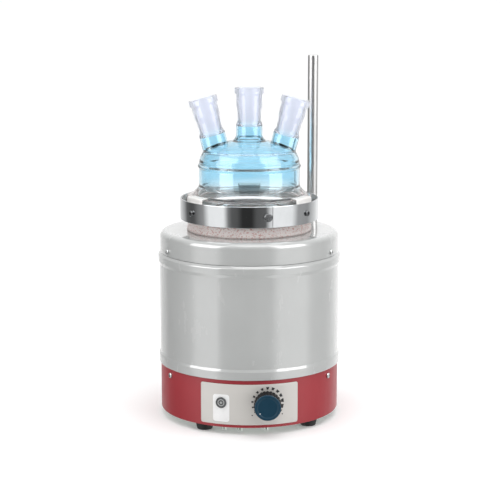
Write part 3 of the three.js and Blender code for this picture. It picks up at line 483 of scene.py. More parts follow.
# Very dark steel for the clamp's screws: a base colour of 0.2, so the screw heads read dark.
DARK_STEEL = steel("dark_screw_steel", (0.20, 0.205, 0.21), 0.3, (1, 1, 1), 0.2)
ZINC = steel("zinc_plate", (0.70, 0.76, 0.70), 0.34, (1, 1, 1), 0.3, 300)
ALUMINIUM = steel("plain_aluminium", (0.74, 0.75, 0.76), 0.4, (1, 8, 1), 0.25, 300)
BLACK = moulded("black_moulding", (0.008, 0.0085, 0.010), 0.5, gloss=0.12)
BADGE = moulded("badge_grey", (0.085, 0.088, 0.09), 0.32)
BADGE_RING = moulded("badge_ring_grey", (0.42, 0.43, 0.43), 0.3)
BLUE = moulded("teal_cap", (0.006, 0.040, 0.072), 0.3, 0.12, 900, gloss=0.3)
RUBBER = moulded("black_rubber", (0.012, 0.012, 0.012), 0.62, 0.5, 900)
TERMINAL = moulded("terminal_green", (0.05, 0.24, 0.11), 0.45)
PRINT = moulded("printed_black", (0.02, 0.02, 0.022), 0.5, 0.1)
WHITE_PRINT = moulded("printed_white", (0.86, 0.86, 0.86), 0.45, 0.1)
SILICONE = moulded("silicone", (0.56, 0.45, 0.42), 0.5, 0.2)
CLEAR_GLASS = glass("clear_glass", (0.97, 0.985, 0.99), 0.0)
# Clear neck glass with a painted blue cast, standing in for the blue backdrop seen through it.
NECK_GLASS = glass("neck_glass", (0.87, 0.90, 0.965), 0.0)
# Lid glass with the blue of the backdrop seen through it painted into its colour above the flange.
BACKDROP_BLUE_GLASS = glass("glass_painted_backdrop_blue", (0.985, 0.99, 0.99), 0.0, backdrop_blue=(0.54, 0.81, 0.94))
# Ground glass: the milky frost is real, and its lavender cast is painted, standing in for the blue backdrop
# seen through it.
GROUND_GLASS = glass("ground_glass", (0.86, 0.88, 0.955), 0.36, 0.34)
# Ground flange seat: the grinding is real, and its pink colour is a painted reflection of the pink weave seen
# through the glass.
SEAT_GLASS_WEAVE_REFLECTION = glass("ground_seat_painted_weave_pink", (0.88, 0.73, 0.69), 0.4, 0.6)
FIBRE = fibre("glass_fibre_weave", (0.94, 0.85, 0.825))
BOARD = circuit_board()
WOOL = mineral_wool()


# --- mantle shells
def add_casing():
    lap_r = BAND_R - 2 * MM
    neck_r = BAND_R - 1.7 * MM
    inner = BODY_R - SHEET
    profile = fillet(
        [
            (lap_r, low("casing"), 0),
            (lap_r, CASING_LOW, 0),
            (FLARE_R, CASING_LOW, 1.1 * MM),
            (FLARE_R, CASING_LOW + 9 * MM, 2.5 * MM),
            (BODY_R, CASING_LOW + 12 * MM, 2.5 * MM),
            (BODY_R, SEAM - 13 * MM, 3 * MM),
            (BEAD_R, SEAM - 9.5 * MM, 3.5 * MM),
            (BEAD_R, SEAM - 3 * MM, 2.6 * MM),
            (BODY_R - 1.1 * MM, SEAM, 0.7 * MM),
            (neck_r, SEAM, 0),
            (neck_r, high("casing"), 0.3 * MM),
            (neck_r - SHEET, high("casing"), 0.3 * MM),
            (neck_r - SHEET, SEAM - SHEET, 0),
            (inner, SEAM - SHEET - 2 * MM, 0),
            (inner, CASING_LOW + SHEET, 0),
            (lap_r - SHEET, CASING_LOW + SHEET, 0),
            (lap_r - SHEET, low("casing"), 0),
        ],
        0,
        6,
    )
    keep(turned("casing_shell", profile), "mantle", "grey_paint", GREY, "casing")


def add_cover():
    hole = COLLAR_R - 0.8 * MM
    edge = 7.5 * MM
    profile = fillet(
        [
            (BAND_R, COVER_LOW, 0.4 * MM),
            (BAND_R, COVER_TOP, edge),
            (hole, COVER_TOP, 0.5 * MM),
            (hole, COVER_TOP - SHEET, 0.3 * MM),
            (BAND_R - SHEET, COVER_TOP - SHEET, edge - SHEET),
            (BAND_R - SHEET, COVER_LOW, 0.3 * MM),
        ],
        0,
        12,
    )
    keep(turned("cover_shell", profile), "mantle", "grey_paint", GREY, "top_cover")


def bush_hole():
    """A tool for the hole of the potentiometer's bush, through the panel and the band."""
    place = Matrix.Translation((KNOB_X, -PANEL_R + 15 * MM, KNOB_Z)) @ facing_front()
    return moved(cylinder(5.1 * MM, 0, 30 * MM, 32), place)


def add_band():
    wall = BAND_R - 1.5 * MM
    lip = wall - 18 * MM
    shelf = low("bottom_plate") + 1.8 * MM
    profile = fillet(
        [
            (BAND_R, BAND_LOW, 1.2 * MM),
            (BAND_R, BAND_TOP, 0.5 * MM),
            (wall, BAND_TOP, 0.4 * MM),
            (wall, shelf + 1.5 * MM, 0.5 * MM),
            (lip, shelf + 1.5 * MM, 0),
            (lip, shelf, 0),
            (wall, shelf, 0),
            (wall, BAND_LOW, 0.4 * MM),
        ],
        0,
        4,
    )
    band = turned("base_band_shell", profile)
    combine(band, bush_hole())
    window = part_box("connection_box")
    inset = 2.5 * MM
    tool = box(
        "window",
        (window[0][0] + inset, window[0][1] - 10 * MM, window[0][2] + inset),
        (window[1][0] - inset, window[1][1], window[1][2] - inset),
    )
    combine(band, tool)
    keep(band, "mantle", "red_paint", RED, "base_band")


def panel_point(x, z, lift):
    """A point on the panel's curved face, lift in front of it."""
    r = PANEL_R + lift
    angle = x / PANEL_R
    return (r * math.sin(angle), -r * math.cos(angle), z)


def curved_plate(name, outline, back, front):
    """A flat outline of (arc length, z), wrapped round the panel's curve as a thin plate."""
    n = len(outline)
    verts = [panel_point(x, z, back) for x, z in outline] + [panel_point(x, z, front) for x, z in outline]
    faces = [[(i + 1) % n, i, i + n, (i + 1) % n + n] for i in range(n)]
    faces += [list(range(n)), list(range(2 * n - 1, n - 1, -1))]
    return new_object(name, verts, faces, 30)


def wrapped_plate(name, x_range, z_range, corner, back, front, roll, columns, rows):
    """A grid bent round the band, with round corners and an edge that rolls back a little."""
    mid_x, mid_z = sum(x_range) / 2, sum(z_range) / 2
    half_x, half_z = (x_range[1] - x_range[0]) / 2, (z_range[1] - z_range[0]) / 2

    def rounded(x, z):
        """Pulls the grid's corners in to a round."""
        limit_x, limit_z = half_x - corner, half_z - corner
        dx, dz = abs(x) - limit_x, abs(z) - limit_z
        if dx <= 0 or dz <= 0:
            return x, z
        scale = max(dx, dz) / math.hypot(dx, dz)
        return math.copysign(limit_x + dx * scale, x), math.copysign(limit_z + dz * scale, z)

    def face(x, z):
        edge = min(half_x - abs(x), half_z - abs(z))
        return front - roll * max(0.0, 1 - edge / (0.8 * MM)) ** 2

    verts, faces = [], []
    for is_front in (False, True):
        for z in np.linspace(-half_z, half_z, rows + 1):
            for x in np.linspace(-half_x, half_x, columns + 1):
                px, pz = rounded(x, z)
                verts.append(panel_point(mid_x + px, mid_z + pz, face(x, z) if is_front else back))
    width = columns + 1
    top = width * (rows + 1)
    for r in range(rows):
        for c in range(columns):
            i = r * width + c
            faces.append([i, i + 1, i + 1 + width, i + width])
            faces.append([top + i, top + i + width, top + i + 1 + width, top + i + 1])
    edge = list(range(width)) + [r * width + columns for r in range(1, rows + 1)]
    edge += [rows * width + c for c in range(columns - 1, -1, -1)]
    edge += [r * width for r in range(rows - 1, 0, -1)]
    for i, j in zip(edge, edge[1:] + edge[:1]):
        faces.append([j, i, top + i, top + j])
    return new_object(name, verts, faces, 30)


def add_panel():
    a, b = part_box("control_panel")
    half = math.asin(b[0] / PANEL_R) * PANEL_R
    plate = wrapped_plate("panel_plate", (-half, half), (a[2], b[2]), 2.2 * MM, -1 * MM, 0, 0.35 * MM, 96, 40)
    combine(plate, bush_hole(), smooth_angle=30)
    keep(plate, "mantle", "panel_film", PANEL, "control_panel")


def circle_outline(x, z, radius, steps=40):
    angles = [2 * math.pi * i / steps for i in range(steps)]
    return [(x + radius * math.cos(a), z + radius * math.sin(a)) for a in angles]


def add_panel_print():
    """The dial's wedge marks grow clockwise from off to full. Each mark is a thin printed patch."""
    knob_arc = math.asin(KNOB_X / PANEL_R) * PANEL_R
    marks = []
    count = 13
    for i in range(count):
        part = i / (count - 1)
        angle = math.radians(-125 + 250 * part)
        spread = math.radians(2.6 + 5.6 * part)
        inner, outer = 15.1 * MM, (17.3 + 1.1 * part) * MM
        outline = []
        for radius, side in ((inner, -0.7), (outer, -1), (outer, 1), (inner, 0.7)):
            a = angle + side * spread
            outline.append((knob_arc + radius * math.sin(a), KNOB_Z + radius * math.cos(a)))
        marks.append(curved_plate("mark", outline, -0.05 * MM, 0.06 * MM))
    for side in (-1, 1):
        x, z = knob_arc + side * 16.5 * MM, KNOB_Z - 13 * MM
        marks.append(curved_plate("dot", circle_outline(x, z, 0.7 * MM, 20), -0.05 * MM, 0.06 * MM))
    keep(merge("dial_print", marks), "mantle", "panel_film", PRINT)
    badge = middle("panel_badge")
    arc_x = math.asin(badge.x / PANEL_R) * PANEL_R
    half = 9.2 * MM
    across, upright = (arc_x - half, arc_x + half), (badge.z - 21 * MM, badge.z + 9 * MM)
    patch = wrapped_plate("badge_patch", across, upright, 3 * MM, -0.1 * MM, 0.08 * MM, 0, 24, 24)
    keep(patch, "mantle", "panel_film", WHITE_PRINT)


def add_badge():
    """A plain round badge with a raised rim, a raised ring and a small boss."""
    centre = middle("panel_badge")
    azimuth = math.atan2(centre.x, -centre.y)
    radius = (high("panel_badge") - low("panel_badge")) / 2
    floor, top, round_edge = 0.35 * MM, 0.78 * MM, 0.15 * MM
    profile = [(0, 0), (radius, 0, 0)]
    for outer, inner in ((radius, radius - 1 * MM), (radius - 2.1 * MM, radius - 3 * MM), (1.3 * MM, 0)):
        profile += [(outer, floor if outer < radius else 0.5 * MM, 0.05 * MM), (outer, top, round_edge)]
        profile += [(inner, top, round_edge), (inner, floor, 0.05 * MM)] if inner else [(0, top)]
    badge = turned("round_badge", fillet(profile, 0, 3, False), SMALL_ROUND, False)
    moved(badge, at_azimuth(PANEL_R + GAP, azimuth, centre.z))
    keep(badge, "mantle", "badge_plastic", BADGE, "panel_badge")
    badge.data.materials.append(BADGE_RING)
    outwards = Vector((math.sin(azimuth), -math.cos(azimuth), 0))
    for polygon in badge.data.polygons:
        rise = polygon.center.dot(outwards) - PANEL_R - GAP
        aside = (polygon.center - outwards * polygon.center.dot(outwards) - Vector((0, 0, centre.z))).length
        if rise > floor + 0.1 * MM and aside < radius - 1.2 * MM:
            polygon.material_index = 1


# --- knob
def add_knob():
    """Fluted skirt and dished cap, made along +Z and turned to the front."""
    back, face = high("control_knob", 1), low("control_knob", 1)
    depth = back - face
    radius = (high("control_knob") - low("control_knob")) / 2
    flutes, around = 24, 24 * 10
    angles = [2 * math.pi * i / around for i in range(around)]
    grooves = [0.75 * MM * (0.5 - 0.5 * math.cos(flutes * a)) ** 1.5 for a in angles]
    recess_r, recess, shaft_r = 9.5 * MM, 4.5 * MM, 3.35 * MM
    rings = []
    for r, z in ((recess_r, 0.0), (recess_r, recess), (shaft_r, recess)):
        rings.append([(r * math.sin(a), r * math.cos(a), z) for a in angles])
    edges = [(0.0, -0.5 * MM), (0.4 * MM, 0.0), (depth - 0.9 * MM, 0.0), (depth, -0.9 * MM)]
    for z, inset in fillet(edges, 0.6 * MM, 4, False):
        reach = [radius + inset - groove for groove in grooves]
        rings.append([(r * math.sin(a), r * math.cos(a), z) for r, a in zip(reach, angles)])
    skirt = stacked("knob_skirt", rings, 30)
    moved(skirt, Matrix.Translation((KNOB_X, back, KNOB_Z)) @ facing_front())
    keep(skirt, "power_knob", "black_plastic", BLACK, "control_knob")

    cap_back = high("knob_cap", 1)
    cap_depth = cap_back - low("knob_cap", 1)
    cap_r = (high("knob_cap") - low("knob_cap")) / 2
    profile = fillet(
        [
            (0, 0),
            (cap_r, 0, 0.1 * MM),
            (cap_r, cap_depth - 0.5 * MM, 0.7 * MM),
            (cap_r - 1.2 * MM, cap_depth, 0.8 * MM),
            (cap_r - 2.6 * MM, cap_depth - 0.1 * MM, 0.6 * MM),
            (cap_r - 3.6 * MM, cap_depth - 0.7 * MM, 1 * MM),
            (0, cap_depth - 0.9 * MM),
        ],
        0.3 * MM,
        5,
        False,
    )
    cap = turned("knob_face", profile, 96, False)
    moved(cap, Matrix.Translation((KNOB_X, cap_back, KNOB_Z)) @ facing_front())
    keep(cap, "power_knob", "blue_plastic", BLUE, "knob_cap")

    off = math.radians(-128)
    half = 0.45 * MM
    mark = box("pointer", (-half, 0, 0), (half, 3.4 * MM, 0.09 * MM))
    place = Matrix.Translation((KNOB_X, low("knob_cap", 1) + 0.1 * MM, KNOB_Z)) @ facing_front()
    moved(mark, place @ Matrix.Rotation(-off, 4, "Z") @ Matrix.Translation((0, cap_r - 4.3 * MM, -0.45 * MM)))
    mark.name = "knob_pointer"
    keep(mark, "power_knob", "blue_plastic", WHITE_PRINT)


# --- screws
def pan_head(name, radius, height, shank, length, recess="cross"):
    """A round-headed screw, made along +Z with its seat at z = 0."""
    if recess == "cross":
        shares = [(1, 0), (1, 0.35), (0.9, 0.72), (0.6, 0.95), (0, 1)]
    else:
        shares = [(1, 0), (1, 0.8), (0.88, 1), (0, 1)]
    dome = [(radius * r, height * z) for r, z in shares]
    profile = [(0, -length), (shank, -length), (shank, 0)] + fillet(dome, 0.35 * MM, 3, False)
    screw = turned(name, profile, SMALL_ROUND, False, 40)
    if recess == "cross":
        arm, half = radius * 0.62, radius * 0.13
        tool = box("arm", (-arm, -half, height * 0.45), (arm, half, height * 2))
        other = box("arm", (-half, -arm, height * 0.45), (half, arm, height * 2))
        combine(screw, tool, smooth_angle=40)
        combine(screw, other, smooth_angle=40)
    elif recess == "slot":
        tool = box("arm", (-radius * 1.2, -0.5 * MM, height * 0.55), (radius * 1.2, 0.5 * MM, height * 2))
        combine(screw, tool, smooth_angle=40)
    else:
        corners = [math.pi * k / 3 for k in range(6)]
        hexagon = [(radius * 0.52 * math.cos(a), radius * 0.52 * math.sin(a)) for a in corners]
        combine(screw, prism("hex", hexagon, height * 0.3, height * 2), smooth_angle=40)
    return screw


def node_azimuth(node):
    """A screw's or claw's azimuth. They sit at whole degrees, and a slanted box's middle is a little off."""
    centre = middle(node)
    return math.radians(round(math.degrees(math.atan2(centre.x, -centre.y))))


FEET = ("front_left", "front_right", "rear_right", "rear_left")
HEAD_R, HEAD, SHANK_R = 3 * MM, 1.9 * MM, 1.6 * MM  # the small screws


def add_side_screws():
    for group in ("cover_screw", "base_screw"):
        for i in (1, 2, 3, 4):
            node = f"{group}_{i}"
            screw = pan_head(f"{group}_fine_{i}", HEAD_R, HEAD, SHANK_R, 4 * MM)
            moved(screw, at_azimuth(BAND_R + GAP, node_azimuth(node), middle(node).z))
            keep(screw, "mantle", "screw_steel", BRIGHT, node)


def add_bottom_screw(node, name, seat, head, recess):
    """A screw driven upwards, with its head hanging below the seat."""
    screw = pan_head(name, HEAD_R, head, SHANK_R, 7.9 * MM, recess)
    centre = middle(node)
    moved(screw, Matrix.Translation((centre.x, centre.y, seat)) @ Matrix.Rotation(math.pi, 4, "X"))
    keep(screw, "mantle", "zinc", ZINC, node)


def add_bottom_screws():
    for name in FEET:
        node = "foot_screw_" + name
        add_bottom_screw(node, "foot_screw_fine_" + name, low(node) + HEAD, HEAD, "cross")
    seat = BAND_LOW - GAP
    for i in (1, 2, 3):
        node = f"plate_screw_{i}"
        add_bottom_screw(node, f"plate_screw_fine_{i}", seat, seat - low(node), "hex")


def add_feet():
    for name in FEET:
        node = "foot_" + name
        top = high(node)
        profile = fillet(
            [
                (8.3 * MM, 0, 1.2 * MM),
                (9.5 * MM, top * 0.7, 1.5 * MM),
                (9.5 * MM, top, 0.4 * MM),
                (2 * MM, top, 0),
                (2 * MM, 4.6 * MM, 0),
                (3.4 * MM, 4.6 * MM, 0),
                (3.4 * MM, 0, 0.4 * MM),
            ],
            0,
            5,
        )
        foot = turned("foot_fine_" + name, profile, 72)
        centre = middle(node)
        moved(foot, Matrix.Translation((centre.x, centre.y, 0)))
        keep(foot, "mantle", "foot_rubber", RUBBER, node)


# --- heater
def bowl_centre():
    """Height of the centre of the heater's round bottom."""
    return low("reaction_vessel") + VESSEL_R


def add_heater():
    """A woven jacket: every vertex of a dense turned surface moves with an over-and-under weave."""
    inner = VESSEL_R + 0.5 * MM
    outer = COLLAR_R - 1.5 * MM
    centre = bowl_centre()
    lip_low = COVER_TOP + GAP
    around, pitch = 648, 2.7 * MM
    swell = 0.45 * MM
    lip = fillet(
        [
            (outer, lip_low - 2 * MM, 0),
            (outer, lip_low + 0.1 * MM, 0.1 * MM),
            (COLLAR_R - swell, lip_low + 0.6 * MM, 1.4 * MM),
            (COLLAR_R - swell, COLLAR_TOP - 7.5 * MM, 2.5 * MM),
            (COLLAR_R - 3 * MM - swell, COLLAR_TOP - swell, 2 * MM),
            (inner + swell, COLLAR_TOP - swell, 1.5 * MM),
            (inner + swell, COLLAR_TOP - 5 * MM, 1 * MM),
        ],
        0,
        10,
        False,
    )
    outside_bowl, inside_bowl = arc(0, centre, outer, -90, 0, 24), arc(0, centre, inner, 0, -90, 40)
    profile = outside_bowl[:-1] + [(outer, centre)] + lip + inside_bowl
    profile = evenly(profile, 0.42 * MM, start=(0, centre - outer))
    verts, faces = lathe_data([(max(r, 0), z) for r, z in profile], around, False)
    verts = np.array(verts)
    spacing = np.hypot(*np.diff(np.array(profile), axis=0).T)
    along = np.concatenate([[0], np.cumsum(spacing)])
    rows = np.concatenate([np.full(1 if r < 1e-7 else around, s) for (r, _), s in zip(profile, along)])
    radius = np.hypot(verts[:, 0], verts[:, 1])
    angle = np.arctan2(verts[:, 0], -verts[:, 1])
    turns = round(2 * math.pi * inner / pitch)
    u = angle * turns
    v = rows / pitch * 2 * math.pi
    weave = np.sin(u) * np.cos(v) + 0.25 * np.sin(2 * u + 1.3) * np.sin(v)
    rng = np.random.default_rng(7)
    yarn = rng.normal(0, 0.18, turns + 1)
    weave = weave * (1 + yarn[((angle + math.pi) / (2 * math.pi) * turns).astype(int) % turns])
    normal_r, normal_z = profile_normals(np.array(profile))
    counts = [1 if r < 1e-7 else around for r, _ in profile]
    nr = np.repeat(normal_r, counts)
    nz = np.repeat(normal_z, counts)
    shown = np.clip((radius - 4 * MM) / (10 * MM), 0, 1)
    lift = 0.42 * MM * weave * shown * np.where(verts[:, 2] > COVER_TOP, 1, 0.4)
    safe = np.maximum(radius, 1e-6)
    verts[:, 0] += lift * nr * verts[:, 0] / safe
    verts[:, 1] += lift * nr * verts[:, 1] / safe
    verts[:, 2] += lift * nz
    jacket = new_object("heater_weave", verts, faces, 180)
    keep(jacket, "mantle", "glass_weave", FIBRE, "heater_jacket")


def evenly(profile, step, start):
    """The same outline with a point about every step where it shows, and few below the cover."""
    points = [start] + [p for p in profile if p != start]
    out = [points[0]]
    for a, b in zip(points, points[1:]):
        length = math.hypot(b[0] - a[0], b[1] - a[1])
        shown = b[1] > COVER_TOP - 4 * MM or (a[0] < VESSEL_R + 0.6 * MM and b[0] <= a[0] + 1e-9)
        pieces = max(1, math.ceil(length / (step if shown else 6 * MM)))
        for k in range(1, pieces + 1):
            out.append((a[0] + (b[0] - a[0]) * k / pieces, a[1] + (b[1] - a[1]) * k / pieces))
    return out


def profile_normals(points):
    """Outward directions along a profile that runs up the outside and down the inside."""
    ahead = np.roll(points, -1, axis=0) - np.roll(points, 1, axis=0)
    ahead[0] = points[1] - points[0]
    ahead[-1] = points[-1] - points[-2]
    length = np.maximum(np.hypot(ahead[:, 0], ahead[:, 1]), 1e-9)
    return ahead[:, 1] / length, -ahead[:, 0] / length


# --- glassware
def add_vessel():
    centre = bowl_centre()
    inner = VESSEL_R - GLASS
    top = high("reaction_vessel")
    under = top - 9 * MM
    wall = fillet(
        [
            (VESSEL_R, centre, 0),
            (VESSEL_R, under - 1 * MM, 1.5 * MM),
            (FLANGE_R, under, 1.5 * MM),
            (FLANGE_R, top, 1 * MM),
            (inner, top, 1 * MM),
            (inner, centre, 0),
        ],
        0,
        6,
        False,
    )
    profile = arc(0, centre, VESSEL_R, -90, 0, 32)[:-1] + wall + arc(0, centre, inner, 0, -90, 32)[1:]
    profile[0] = (0, profile[0][1])
    profile[-1] = (0, profile[-1][1])
    vessel = turned("vessel_glass", profile, ROUND, False, 40)
    keep(vessel, "vessel_set", "glass", CLEAR_GLASS, "reaction_vessel")
    # The flange's top takes the seat glass, whose pink is a painted reflection of the weave.
    vessel.data.materials.append(SEAT_GLASS_WEAVE_REFLECTION)
    for polygon in vessel.data.polygons:
        if polygon.center[2] > top - 0.1 * MM:
            polygon.material_index = 1


NECK_TILT = math.radians(14.7)
SIDE_NECK_X = 37.8 * MM
SIDE_NECK_LENGTH = 53.1 * MM
TUBE_R = 14.5 * MM
BORE_R = 12.3 * MM
SOCKET_LENGTH = 40 * MM
SOCKET_MOUTH_R = 12 * MM
SOCKET_ROOT_R = 10 * MM
LID_BOTTOM = low("vessel_lid")
LID_FLANGE_TOP = LID_BOTTOM + 9 * MM
LID_WALL_LOW = LID_FLANGE_TOP + 9.5 * MM
LID_WALL_TOP = LID_WALL_LOW + 25 * MM
LID_R = FLANGE_R - 13 * MM
DOME_TOP = LID_WALL_TOP + 27 * MM
DOME_SHOULDER_R = LID_R - 5.5 * MM
LID_RIM = high("vessel_lid")


def crown(radius, inset=0.0):
    """Height of the dome at a radius, on its outside or at a depth under it."""
    return DOME_TOP - inset - 11.5 * MM * (radius / (DOME_SHOULDER_R - inset)) ** 2


def neck_outline():
    """A neck's outside, from its tube up to its rim at z = 0: tube, waist, socket and rim."""
    return [
        (TUBE_R, -SOCKET_LENGTH - 1 * MM, 2.5 * MM),
        (12.7 * MM, -SOCKET_LENGTH * 0.9, 3 * MM),
        (12.9 * MM, -SOCKET_LENGTH * 0.67, 3 * MM),
        (14.2 * MM, -SOCKET_LENGTH * 0.5, 4 * MM),
        (14.3 * MM, -8.6 * MM, 2 * MM),
        (16.1 * MM, -6.2 * MM, 1.2 * MM),
        (16.1 * MM, 0, 1.3 * MM),
        (0, 0, 0),
    ]


def neck_bore():
    """What is cut from a neck, from the plain tube up through the tapered socket."""
    return [
        (BORE_R, -SOCKET_LENGTH - 2.5 * MM, 1 * MM),
        (SOCKET_ROOT_R, -SOCKET_LENGTH, 0.4 * MM),
        (SOCKET_MOUTH_R, -0.8 * MM, 0.5 * MM),
        (SOCKET_MOUTH_R + 0.8 * MM, 0, 0),
        (SOCKET_MOUTH_R + 0.8 * MM, 1 * MM, 0),
        (0, 1 * MM, 0),
    ]


def raised_by(points, rise):
    return [(r, z + rise, f) for r, z, f in points]


def lid_outside():
    return fillet(
        [
            (0, LID_BOTTOM, 0),
            (FLANGE_R, LID_BOTTOM, 0.9 * MM),
            (FLANGE_R, LID_FLANGE_TOP, 1.2 * MM),
            (FLANGE_R - 4.5 * MM, LID_FLANGE_TOP, 1.5 * MM),
            (LID_R, LID_WALL_LOW, 7 * MM),
            (LID_R, LID_WALL_TOP - 5 * MM, 1.2 * MM),
            (LID_R + 1.6 * MM, LID_WALL_TOP - 2.5 * MM, 1.5 * MM),
            (LID_R, LID_WALL_TOP, 1.2 * MM),
            (LID_R - 1 * MM, LID_WALL_TOP + 6 * MM, 4 * MM),
            (DOME_SHOULDER_R, crown(DOME_SHOULDER_R), 4 * MM),
            (38 * MM, crown(38 * MM), 12 * MM),
            (24 * MM, crown(24 * MM), 6 * MM),
            (TUBE_R + 3 * MM, crown(TUBE_R + 3 * MM), 2 * MM),
            (TUBE_R, DOME_TOP + 3 * MM, 3 * MM),
        ]
        + raised_by(neck_outline(), LID_RIM),
        0,
        7,
        False,
    )


def lid_inside():
    mouth = VESSEL_R - GLASS
    shoulder = DOME_SHOULDER_R - GLASS
    return fillet(
        [
            (0, LID_BOTTOM - 1 * MM, 0),
            (mouth, LID_BOTTOM - 1 * MM, 0),
            (mouth, LID_FLANGE_TOP, 3 * MM),
            (LID_R - GLASS, LID_WALL_LOW - 1 * MM, 6 * MM),
            (LID_R - GLASS, LID_WALL_TOP + 1 * MM, 5 * MM),
            (shoulder, crown(shoulder, GLASS), 7 * MM),
            (34 * MM, crown(34 * MM, GLASS), 12 * MM),
            (20 * MM, crown(20 * MM, GLASS), 5 * MM),
            (BORE_R, crown(BORE_R, GLASS), 2 * MM),
        ]
        + raised_by(neck_bore(), LID_RIM),
        0,
        7,
        False,
    )


def add_lid():
    """The dome and centre neck are turned, the side necks join it, and the inside is cut last."""
    lid = turned("lid_glass", lid_outside(), ROUND, False, 45)
    places, holes = [], []
    for side in (-1, 1):
        tilt = Matrix.Rotation(side * NECK_TILT, 4, "Y")
        foot = Matrix.Translation((side * SIDE_NECK_X, 0, crown(SIDE_NECK_X)))
        places.append(foot @ tilt @ Matrix.Translation((0, 0, SIDE_NECK_LENGTH)))
    for place in places:
        root = SIDE_NECK_LENGTH + 9 * MM
        tube = fillet([(0, -root, 0), (TUBE_R, -root, 0)] + neck_outline(), 0, 7, False)
        combine(lid, moved(turned("tube", tube, 112, False, 45), place), "UNION", 45)
        hole = fillet([(0, -root - 2 * MM, 0), (BORE_R, -root - 2 * MM, 0)] + neck_bore(), 0, 5, False)
        holes.append(moved(turned("hole", hole, 112, False, 45), place))
    combine(lid, turned("inside", lid_inside(), ROUND, False, 45), smooth_angle=45)
    for hole in holes:
        combine(lid, hole, smooth_angle=45)
    # The lid's glass carries a painted blue backdrop above its flange.
    keep(lid, "vessel_set", "glass", BACKDROP_BLUE_GLASS, "vessel_lid")
    finish_lid_faces(lid, [Matrix.Translation((0, 0, LID_RIM))] + places)


def finish_lid_faces(lid, places):
    """The sockets' bores and the flange's seat are ground, and the upper necks are clear. The seat's pink
    colour is a painted reflection of the weave.
    """
    lid.data.materials.append(GROUND_GLASS)
    lid.data.materials.append(NECK_GLASS)
    lid.data.materials.append(SEAT_GLASS_WEAVE_REFLECTION)
    inverses = [place.inverted() for place in places]
    for polygon in lid.data.polygons:
        centre = Vector(polygon.center)
        if centre.z < LID_BOTTOM + 0.1 * MM:
            polygon.material_index = 3
        for inverse in inverses:
            at = inverse @ centre
            aside = math.hypot(at.x, at.y)
            if -SOCKET_LENGTH - 1 * MM < at.z < 0.1 * MM and aside < 17 * MM:
                polygon.material_index = 1 if aside < SOCKET_MOUTH_R + 0.1 * MM and at.z < -0.5 * MM else 2


def add_gasket():
    a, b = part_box("lid_gasket")
    outer, inner = b[0], b[0] - 7 * MM
    corners = [(outer, a[2]), (outer, b[2]), (inner, b[2]), (inner, a[2])]
    profile = fillet(corners, (b[2] - a[2]) * 0.45, 4)
    keep(turned("gasket_ring", profile), "vessel_set", "silicone", SILICONE, "lid_gasket")


# --- clamp
def sector_data(profile, start, end, steps):
    """A closed profile of (radius, z) swept between two azimuths, with flat ends."""
    n = len(profile)
    verts, faces = [], []
    for i in range(steps + 1):
        a = start + (end - start) * i / steps
        verts += [(r * math.sin(a), -r * math.cos(a), z) for r, z in profile]
    for i in range(steps):
        for k in range(n):
            m = (k + 1) % n
            faces.append([i * n + k, i * n + m, (i + 1) * n + m, (i + 1) * n + k])
    faces += [list(range(n)), list(range(steps * n + n - 1, steps * n - 1, -1))]
    return verts, faces


CLAMP_WALL = 1.5 * MM
CLOSING_HEAD_R = 4.6 * MM


def strip(name, outer, start, end, steps):
    """A length of the clamp's band, bent between two azimuths."""
    inner = outer - CLAMP_WALL
    corners = [(outer, CLAMP_LOW), (outer, CLAMP_TOP), (inner, CLAMP_TOP), (inner, CLAMP_LOW)]
    return new_object(name, *sector_data(fillet(corners, 0.5 * MM, 4), start, end, steps))


def add_clamp():
    """The band's ends lap under the closing screw, with the slit just beside its head."""
    closing = node_azimuth("clamp_closing_screw")
    lap = math.radians(11)
    slit = closing + (CLOSING_HEAD_R + 0.5 * MM) / CLAMP_R
    gap = math.radians(0.5)
    band = strip("band", CLAMP_R, slit + gap, slit + 2 * math.pi, 220)
    tab = strip("tab", CLAMP_R - CLAMP_WALL - 0.1 * MM, closing - lap, closing + lap, 16)
    combine(band, tab, "UNION")
    hole = cylinder(2.3 * MM, -8 * MM, 6 * MM, 32)
    combine(band, moved(hole, at_azimuth(CLAMP_R, closing, middle("clamp_band").z)))
    band.name = "clamp_strip"
    keep(band, "vessel_set", "clamp_steel", POLISHED, "clamp_band")
    band.data.materials.append(CLAW_STEEL)
    for polygon in band.data.polygons:
        if math.hypot(polygon.center[0], polygon.center[1]) < CLAMP_R - 0.8 * CLAMP_WALL:
            polygon.material_index = 1


